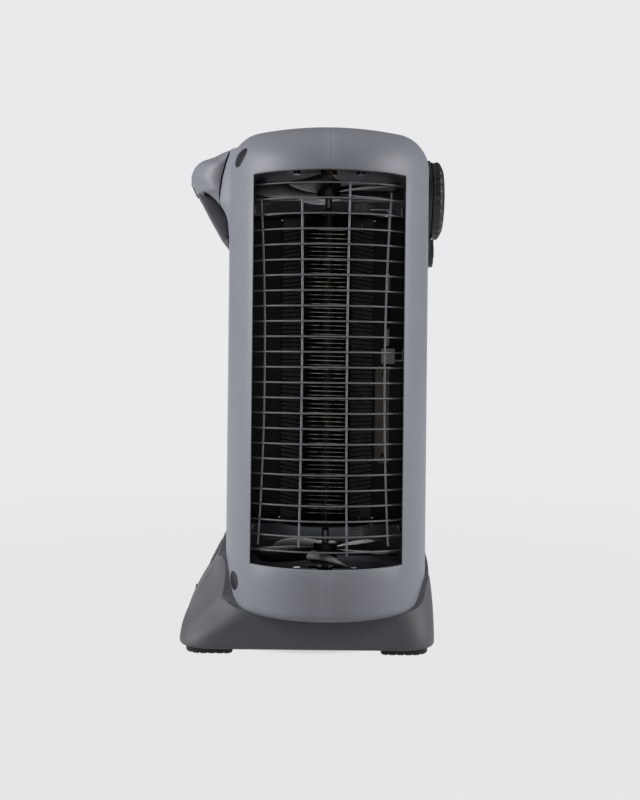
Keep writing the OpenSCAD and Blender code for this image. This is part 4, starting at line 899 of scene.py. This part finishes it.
def grille_tree():
    """Bowed wires on an upright line of points, and four uprights that follow the same bow."""
    floats = ("Wire radius", "Upright radius", "Bow radius", "Half angle", "Pitch", "Lowest", "Upright bend")
    tree, g, out = new_tree("welded_grille", [(label, 'NodeSocketFloat') for label in floats]
                            + [("Wires", 'NodeSocketInt')])
    begin = add_node(tree, MATH, MINUS, (-math.pi / 2, g["Half angle"]))
    sweep = add_node(tree, MATH, TIMES, (g["Half angle"], 2.0))
    arc = add_node(tree, "GeometryNodeCurveArc", {"mode": 'RADIUS'}, Resolution=40, Radius=g["Bow radius"],
                   Start_Angle=begin, Sweep_Angle=sweep)
    line = add_node(tree, "GeometryNodeMeshLine", {"mode": 'OFFSET'}, Count=g["Wires"],
                    Start_Location=add_node(tree, "ShaderNodeCombineXYZ", Z=g["Lowest"]),
                    Offset=add_node(tree, "ShaderNodeCombineXYZ", Z=g["Pitch"]))
    wire = swept(tree, arc, g["Wire radius"], 10)
    rows = add_node(tree, "GeometryNodeInstanceOnPoints", Points=line, Instance=wire)
    join = add_node(tree, "GeometryNodeJoinGeometry", Geometry=rows)
    span = add_node(tree, MATH, TIMES, (add_node(tree, MATH, MINUS, (g["Wires"], 1.0)), g["Pitch"]))
    top = add_node(tree, MATH, PLUS, (g["Lowest"], span))
    # The uprights are sunk a little into the bowed wires, as welds are
    depth = add_node(tree, MATH, MINUS, (g["Bow radius"], 0.001))
    for place, foot, drop, lean in UPRIGHTS:
        fine, share = fine_line(tree, 30)
        along = add_node(tree, MATH, MINUS, (add_node(tree, MATH, TIMES, (share, 2.0)), 1.0))
        low_end = add_node(tree, MATH, PLUS, (g["Lowest"], foot))
        tall = add_node(tree, MATH, MINUS, (add_node(tree, MATH, MINUS, (top, drop)), low_end))
        height = add_node(tree, MATH, PLUS, (low_end, add_node(tree, MATH, TIMES, (share, tall))))
        arch = add_node(tree, MATH, MINUS, (1.0, add_node(tree, MATH, POWER, (along, 2.0))))
        bend = add_node(tree, MATH, TIMES, (arch, g["Upright bend"]))
        across = add_node(tree, MATH, MINUS, (place, add_node(tree, MATH, TIMES, (bend, lean))))
        squares = [add_node(tree, MATH, POWER, (length, 2.0)) for length in (depth, across)]
        reach = add_node(tree, MATH, ROOT, (add_node(tree, MATH, MINUS, squares),))
        out_y = add_node(tree, MATH, TIMES, (reach, -1.0))
        spot = add_node(tree, "ShaderNodeCombineXYZ", X=across, Y=out_y, Z=height)
        bent = add_node(tree, "GeometryNodeSetPosition", Geometry=fine, Position=spot)
        tree.links.new(swept(tree, bent, g["Upright radius"], 12).outputs[0], join.inputs[0])
    close_tree(tree, out, join, "wire")
    return tree


class FANHEATER_OT_grilles(bpy.types.Operator):
    """Welded wire grille in each outlet"""
    bl_idname = "fan_heater.grilles"
    bl_label = "Grilles"

    def execute(self, context):
        s = sizes()
        tree = grille_tree()
        for node, side in (("right_grille", -1), ("left_grille", 1)):
            made = plain_from_nodes(node + "_wires", empty_mesh(node + "_wires"), tree, {
                "Wire radius": s.wire_d / 2, "Upright radius": s.upright_d / 2, "Wires": s.wire_count,
                "Bow radius": GRILLE_BOW / 1000, "Half angle": math.asin(WIRE_END / GRILLE_BOW),
                "Pitch": (WIRE_HIGH - WIRE_LOW) / 1000 / (s.wire_count - 1), "Lowest": WIRE_LOW / 1000,
                "Upright bend": s.upright_bow})
            turn = Matrix.Rotation(math.pi if side > 0 else 0, 4, 'Z')
            made.data.transform(Matrix.Translation((BODY_X / 1000, side * GRILLE_MID / 1000, 0)) @ turn)
            dressed(made, "wire", "body", [node], 0)
        return {'FINISHED'}


# Controls

class FANHEATER_OT_dial(bpy.types.Operator):
    """Thermostat dial with a ribbed rim, a raised face and a pointer"""
    bl_idname = "fan_heater.dial"
    bl_label = "Thermostat dial"

    def execute(self, context):
        ribs = sizes().dial_ribs
        # Turned outline as (radius, distance in front of the body's axis), from the back to the face
        profile = [(3.0, 84.8), (31.2, 84.8), (31.9, 85.0), (32.3, 85.5), (32.3, 86.6), (31.7, 87.0),
                   (31.6, 87.4), (31.6, 90.6), (31.3, 91.6), (30.4, 92.6), (29.0, 93.6), (27.8, 94.5),
                   (26.6, 95.0), (25.0, 95.2), (18.0, 95.2), (17.0, 94.9), (5.0, 94.7), (0.4, 94.7)]
        # How strongly the ribs shape the outline at these of its points
        ribbed = {7: 1.0, 8: 1.0, 9: 0.9, 10: 0.45}

        def rim(r, a, k):
            wave = 0.5 + 0.5 * math.cos(ribs * a)
            return r + ribbed.get(k, 0.0) * (1.35 * wave ** 1.6 - 0.35)

        dial = revolved("thermostat_dial_knob", profile, ribs * 8,
                        lambda a, r, h: (h, r * math.cos(a), DIAL_Z + r * math.sin(a)), rim)
        cut(dial, rod_x("bore", 80, 93, 3, 0, DIAL_Z, 32),
            block("pointer", (94.4, -1, DIAL_Z + 13), (97, 1, DIAL_Z + 30)))
        dressed(dial, "dark", "dial", ["thermostat_dial"], 34)
        return {'FINISHED'}


class FANHEATER_OT_bezel(bpy.types.Operator):
    """Control bezel with its raised tail, slider slot and lamp hole"""
    bl_idname = "fan_heater.bezel"
    bl_label = "Control bezel"

    def execute(self, context):
        back, face = 80.7, 84.4
        low, high = SLIDER_Z - 2, 324.4
        bezel = prism("control_bezel_moulding", bezel_outline(FIT), back, face, "x")
        tail = [(-11, high)] + circle(11, 28, (0, low), 180, 180) + [(11, high)]
        raised = prism("tail", tail, back + 0.5, 87.9, "x")
        cut(raised, prism("slope", [(84.7, 280), (84.7, 298.3), (94.7, 308.3), (94.7, 280)], -30, 30, "y"))
        combine(bezel, raised, 'UNION')
        cut(bezel, rod_x("bore", 0, 200, 3.05, 0, DIAL_Z, 32),
            block("slot", (0, -3, SLIDER_Z - 8.5), (200, 3, SLIDER_Z + 8.5)),
            rod_x("lamp", 0, 200, 2.2, 8, low, 32))
        dressed(softened(bezel, 0.35, 40), "dark", "body", ["control_bezel"], 34)
        return {'FINISHED'}


# Element

def winding_tree():
    """A wire wound down round six boards: straight from board to board, turning at each edge."""
    floats = ("Top", "Bottom", "Board radius", "Start angle", "Wire radius")
    tree, g, out = new_tree("element_winding", [(label, 'NodeSocketFloat') for label in floats]
                            + [("Turns", 'NodeSocketInt')])
    points = add_node(tree, MATH, PLUS, (add_node(tree, MATH, TIMES, (g["Turns"], 24.0)), 1.0))
    fine, share = fine_line(tree, points)
    turned = add_node(tree, MATH, TIMES, (add_node(tree, MATH, TIMES, (share, g["Turns"])), 2 * math.pi))
    angle = add_node(tree, MATH, PLUS, (g["Start angle"], turned))
    sixth = math.pi / 3
    part = add_node(tree, MATH, MINUS, (add_node(tree, MATH, MODULO, (angle, sixth)), sixth / 2))
    flat = add_node(tree, MATH, TIMES, (g["Board radius"], math.cos(sixth / 2)))
    reach = add_node(tree, MATH, OVER, (flat, add_node(tree, MATH, COSINE, (part,))))
    x, y = (add_node(tree, MATH, TIMES, (reach, add_node(tree, MATH, wave, (angle,))))
            for wave in (COSINE, SINE))
    drop = add_node(tree, MATH, TIMES, (share, add_node(tree, MATH, MINUS, (g["Bottom"], g["Top"]))))
    spot = add_node(tree, "ShaderNodeCombineXYZ", X=x, Y=y, Z=add_node(tree, MATH, PLUS, (g["Top"], drop)))
    path = add_node(tree, "GeometryNodeSetPosition", Geometry=fine, Position=spot)
    close_tree(tree, out, swept(tree, path, g["Wire radius"], 7), "resistance")
    return tree


class FANHEATER_OT_winding(bpy.types.Operator):
    """Heating wire wound round the boards, with its two ends led into the terminals"""
    bl_idname = "fan_heater.winding"
    bl_label = "Heating wire"

    def execute(self, context):
        s = sizes()
        made = plain_from_nodes("heating_wire_winding", empty_mesh("winding"), winding_tree(), {
            "Turns": s.turns, "Top": COIL_TOP / 1000, "Bottom": COIL_LOW / 1000,
            "Board radius": COIL_R / 1000, "Start angle": math.radians(TERMINAL_A),
            "Wire radius": s.coil_d / 2})
        made.data.transform(Matrix.Translation((BODY_X / 1000, 0, 0)))
        a = math.radians(TERMINAL_A)
        end = circle(0.5, 12, (TERMINAL_R * math.cos(a), TERMINAL_R * math.sin(a)))
        ends = [prism("end", end, COIL_TOP, COIL_TOP + 11.4), prism("end", end, COIL_LOW - 10, COIL_LOW)]
        dressed(joined("heating_wire_winding_ends", [made] + ends), "resistance", "body",
                ["heating_wire"], 0)
        return {'FINISHED'}


class FANHEATER_OT_boards(bpy.types.Operator):
    """Six notched mica boards that carry the winding"""
    bl_idname = "fan_heater.boards"
    bl_label = "Mica boards"

    def execute(self, context):
        turns = sizes().turns
        near, edge, deep = 7.8, 38.2, 36.4
        parts = []
        for k in range(6):
            notches = []
            for j in range(turns):
                z = COIL_TOP - (COIL_TOP - COIL_LOW) / turns * ((60 * k + 30) / 360 + j)
                notches += [(edge, z + 1.0), (deep, z + 0.65), (deep, z - 0.65), (edge, z - 1.0)]
            corners = [(edge, BOARD_LOW), (near, BOARD_LOW), (near, BOARD_HIGH), (edge, BOARD_HIGH)]
            board = prism("board", corners[1:] + notches + corners[:1], -0.4, 0.4, "y")
            shift = Matrix.Translation((BODY_X / 1000, 0, 0))
            board.data.transform(shift @ Matrix.Rotation(math.radians(60 * k), 4, 'Z') @ shift.inverted())
            parts.append(board)
        dressed(joined("mica_boards_notched", parts), "mica", "body", ["mica_boards"], 30)
        return {'FINISHED'}


class FANHEATER_OT_baffles(bpy.types.Operator):
    """Sheet baffles between the winding and the heat shields, raised beside the spiders' arms"""
    bl_idname = "fan_heater.baffles"
    bl_label = "Baffles"

    def execute(self, context):
        near, step, far, thick = 34, 40.2, 63.4, 0.6
        low, high = BOARD_LOW + FIT, BOARD_HIGH - FIT
        outline = [(near, low), (step, low), (step, 82.4), (far, 82.4), (far, 346), (step, 346), (step, high),
                   (near, high)]
        for name, facing in (("front_baffle", 1), ("rear_baffle", -1)):
            sheet = prism(name + "_sheet", [(facing * x, z) for x, z in outline], 9.6, 10.4, "y")
            x0, x1 = sorted((facing * (far - thick), facing * far))
            combine(sheet, block("flange", (x0, 9.7, low), (x1, 18, high)), 'UNION')
            dressed(sheet, "sheet", "body", [name], 30)
        return {'FINISHED'}


# Fans

# Stations of a blade: share of its reach, chord in millimetres and pitch in degrees
BLADE = ((0, 13, 28), (0.15, 19, 22), (0.35, 27, 16), (0.6, 33, 12.5), (0.82, 35, 11), (0.94, 31, 10.5),
         (1, 21, 10))


def blade_object(name, up):
    """One cambered blade, from the hub out, with thin rounded edges."""
    rings = []
    for share, chord, pitch in smooth_line(BLADE, 4):
        r, c = 8 + 54 * min(share, 1), chord / 2
        cb, sb = math.cos(math.radians(pitch)), math.sin(math.radians(pitch))
        over, below = [], []
        for i in range(11):
            t = -1 + 2 * i / 10
            camber = 0.055 * chord * (1 - t * t)
            thick = 0.6 * (1 - 0.55 * t ** 4)
            over.append((c * t, camber + thick))
            below.append((c * t, camber - thick))
        ring = []
        for q, h in below + over[::-1]:
            y, z = q * cb - h * sb, q * sb + h * cb
            ring.append((math.sqrt(max(r * r - y * y, 1)), -y, -z if up else z))
        rings.append(ring)
    return loft(name, rings)


def fan_tree():
    """Copies the blade that comes in round the hub."""
    tree, g, out = new_tree("propeller_fan", [("Blades", 'NodeSocketInt'),
                                              ("First blade", 'NodeSocketFloat')])
    spots = add_node(tree, "GeometryNodePoints", Count=g["Blades"])
    step = add_node(tree, MATH, OVER, (2 * math.pi, g["Blades"]))
    turned = add_node(tree, MATH, TIMES, (add_node(tree, "GeometryNodeInputIndex"), step))
    angle = add_node(tree, MATH, PLUS, (g["First blade"], turned))
    copies = add_node(tree, "GeometryNodeInstanceOnPoints", Points=spots, Instance=g["Geometry"],
                      Rotation=add_node(tree, "ShaderNodeCombineXYZ", Z=angle))
    close_tree(tree, out, copies, "blade")
    return tree


class FANHEATER_OT_fans(bpy.types.Operator):
    """Lower and upper fans on the shaft, pitched as each other's mirror image"""
    bl_idname = "fan_heater.fans"
    bl_label = "Fans"

    def execute(self, context):
        tree = fan_tree()
        hub = [(3.0, -8), (9.2, -8), (9.8, -7.7), (10, -7.1), (10, 7.1), (9.8, 7.7), (9.2, 8), (3.0, 8)]
        steps, n = 48, len(hub)
        faces = [(k * steps + i, k * steps + (i + 1) % steps, (k + 1) % n * steps + (i + 1) % steps,
                  (k + 1) % n * steps + i) for k in range(n) for i in range(steps)]
        for node, z, up, first in (("lower_fan", 60.5, False, LOWER_PHASE),
                                   ("upper_fan", 366.5, True, UPPER_PHASE)):
            name = node + "_blades"
            blade = blade_object(name + "_one", up)
            blade.data.transform(Matrix.Translation((-BODY_X / 1000, 0, 0)))
            fan = plain_from_nodes(name, blade, tree, {
                "Blades": sizes().blades, "First blade": math.radians(first)})
            fan.data.transform(Matrix.Translation((BODY_X / 1000, 0, z / 1000)))
            made = piece_from("hub", [(x, y, z + h) for r, h in hub for x, y in circle(r, steps)], faces)
            dressed(joined(name + "_and_hub", [fan, made]), "blade", "fan_rotor", [node], 32)
        return {'FINISHED'}


# Nodes carried over

KEPT = {
    "screw": ["casing_screws", "handle_screw", "base_screws", "dial_shaft", "motor_rotor", "drive_shaft",
              "motor_screws", "bracket_screws", "element_lead"],
    "sheet": ["front_heat_shield", "rear_heat_shield", "upper_spider", "lower_spider", "top_bracket",
              "thermostat", "lower_bearing", "upper_bearing"],
    "guard": ["wiring_guard"],
    "shell": ["grip_well"],
    "base": ["base_plate", "mode_switch"],
    "dark": ["cord_gland", "tip_switch"],
    "pale": ["tip_plunger", "terminal_block", "mode_slider"],
    "lens": ["pilot_lens"],
    "core": ["motor_core"],
    "copper": ["motor_coil", "thermal_fuse"],
    "bronze": ["top_bush"],
    # The core tube and tie rods take the finish whose near-black colour is painted shade
    "core_in_painted_shade": ["core_tube", "tie_rods"],
    "ceramic": ["upper_terminal", "lower_terminal", "fuse_sleeves", "thermal_cutout"],
}


class FANHEATER_OT_inner_parts(bpy.types.Operator):
    """Finishes on the parts that keep their own shapes"""
    bl_idname = "fan_heater.inner_parts"
    bl_label = "Inner parts"

    def execute(self, context):
        made = finishes()
        for finish, names in KEPT.items():
            for name in names:
                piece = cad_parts.get(name)
                if piece is None:
                    continue
                if not piece.material_slots:
                    piece.data.materials.append(made[finish])
                for slot in piece.material_slots:
                    slot.material = made[finish]
        return {'FINISHED'}


# Stage

# Soft lamps: name, place, height that they aim at over the floor's middle, width and height, and power
LAMPS = (("left_softbox", (-1.52, -0.36, 0.8), 0.26, (0.9, 1.4), 24),
         ("right_softbox", (1.52, -0.36, 0.8), 0.26, (0.9, 1.4), 19.5),
         ("front_fill", (0.1, -2.2, 0.5), 0.2, (1.6, 0.8), 1.2),
         ("top_softbox", (0, -0.1, 1.9), 0.2, (1.2, 1.2), 1.5),
         ("rear_softbox", (0.0, 1.9, 0.34), 0.2, (1.4, 0.5), 6))


class FANHEATER_OT_stage(bpy.types.Operator):
    """Pale floor, soft lamps and the camera"""
    bl_idname = "fan_heater.stage"
    bl_label = "Stage"

    def execute(self, context):
        scene = context.scene
        pale = bpy.data.materials.new("pale_studio_paper")
        tree = bare_tree(pale)
        ray = add_node(tree, "ShaderNodeLightPath").outputs
        mirrored = add_node(tree, MATH, LARGER, (ray["Is Glossy Ray"], ray["Is Transmission Ray"]))
        direct = add_node(tree, MATH, LARGER, (ray["Is Camera Ray"], mirrored))
        place = add_node(tree, "ShaderNodeTexCoord").outputs["Object"]
        away = add_node(tree, "ShaderNodeVectorMath", {"operation": 'LENGTH'}, (place,)).outputs["Value"]
        # Away from the heater the paper fades into the backdrop
        fade = add_node(tree, "ShaderNodeMapRange", Value=away, From_Min=0.3, From_Max=1.1, To_Min=0.95)
        # Right under the heater the paper lies in its shade
        shade = add_node(tree, "ShaderNodeMapRange", Value=away, From_Min=0.06, From_Max=0.1, To_Min=0.05)
        share = add_node(tree, MATH, TIMES, (direct, add_node(tree, MATH, TIMES, (fade, shade))))
        matt = add_node(tree, "ShaderNodeBsdfDiffuse", Color=linear("959595"))
        glow = add_node(tree, "ShaderNodeEmission", Color=linear(PAPER), Strength=1.0)
        mixed = add_node(tree, "ShaderNodeMixShader", inputs=(share, matt, glow))
        add_node(tree, "ShaderNodeOutputMaterial", inputs=(mixed,))
        mesh = bpy.data.meshes.new("studio_floor")
        mesh.from_pydata([(-6, -6, 0), (6, -6, 0), (6, 6, 0), (-6, 6, 0)], [], [(0, 1, 2, 3)])
        mesh.materials.append(pale)
        floor = in_scene("studio_floor", mesh)

        scene.world = bpy.data.worlds.new("studio_air")
        air = bare_tree(scene.world)
        ray = add_node(air, "ShaderNodeLightPath").outputs
        seen = add_node(air, MATH, LARGER, (ray["Is Camera Ray"], ray["Is Transmission Ray"]))
        light = add_node(air, "ShaderNodeBackground", Color=linear("FFFFFF"), Strength=0.13)
        paper = add_node(air, "ShaderNodeBackground", Color=linear(PAPER), Strength=1.0)
        mixed = add_node(air, "ShaderNodeMixShader", inputs=(seen, light, paper))
        add_node(air, "ShaderNodeOutputWorld", inputs=(mixed,))

        for name, place, aim, size, power in LAMPS:
            lamp = bpy.data.lights.new(name, 'AREA')
            lamp.shape, lamp.size, lamp.size_y, lamp.energy = 'RECTANGLE', size[0], size[1], power
            made = in_scene(name, lamp)
            made.location = place
            made.rotation_euler = (Vector((0, 0, aim)) - Vector(place)).to_track_quat('-Z', 'Y').to_euler()

        camera = bpy.data.cameras.new("studio_camera")
        camera.lens, camera.sensor_width, camera.sensor_fit = 47.61, 36.0, 'AUTO'
        camera.shift_y = -31 / 800
        made = in_scene("studio_camera", camera)
        made.location = (0.0047, -0.896, 0.215)
        made.rotation_euler = (Matrix.Rotation(math.pi / 2, 4, 'X')
                               @ Matrix.Rotation(math.radians(0.6), 4, 'Z')).to_euler()
        scene.camera = made
        scene.view_settings.view_transform = 'Standard'
        return {'FINISHED'}


class FANHEATER_PT_panel(bpy.types.Panel):
    """Sizes, colours and pieces of the heater"""
    bl_idname = "FANHEATER_PT_panel"
    bl_label = "Fan heater"
    bl_space_type = 'VIEW_3D'
    bl_region_type = 'UI'
    bl_category = "Fan heater"

    def draw(self, context):
        layout = self.layout
        for group in (sizes(), colours()):
            box = layout.box()
            for key in group.__annotations__:
                box.prop(group, key)
        column = layout.column(align=True)
        for operator in OPERATORS:
            column.operator(operator.bl_idname)


OPERATORS = (FANHEATER_OT_stage, FANHEATER_OT_inner_parts, FANHEATER_OT_shells, FANHEATER_OT_handle,
             FANHEATER_OT_grip_strap, FANHEATER_OT_plugs, FANHEATER_OT_base, FANHEATER_OT_vents,
             FANHEATER_OT_feet, FANHEATER_OT_grilles, FANHEATER_OT_dial, FANHEATER_OT_bezel,
             FANHEATER_OT_winding, FANHEATER_OT_boards, FANHEATER_OT_baffles, FANHEATER_OT_fans)
CLASSES = (FanHeaterSizes, FanHeaterColours) + OPERATORS + (FANHEATER_PT_panel,)


def register():
    for item in CLASSES:
        bpy.utils.register_class(item)
    bpy.types.Scene.fan_heater_sizes = bpy.props.PointerProperty(type=FanHeaterSizes)
    bpy.types.Scene.fan_heater_colours = bpy.props.PointerProperty(type=FanHeaterColours)


def unregister():
    del bpy.types.Scene.fan_heater_sizes
    del bpy.types.Scene.fan_heater_colours
    for item in reversed(CLASSES):
        bpy.utils.unregister_class(item)


def main():
    register()
    for operator in OPERATORS:
        group, name = operator.bl_idname.split(".")
        getattr(getattr(bpy.ops, group), name)()


if __name__ == "__main__":
    main()
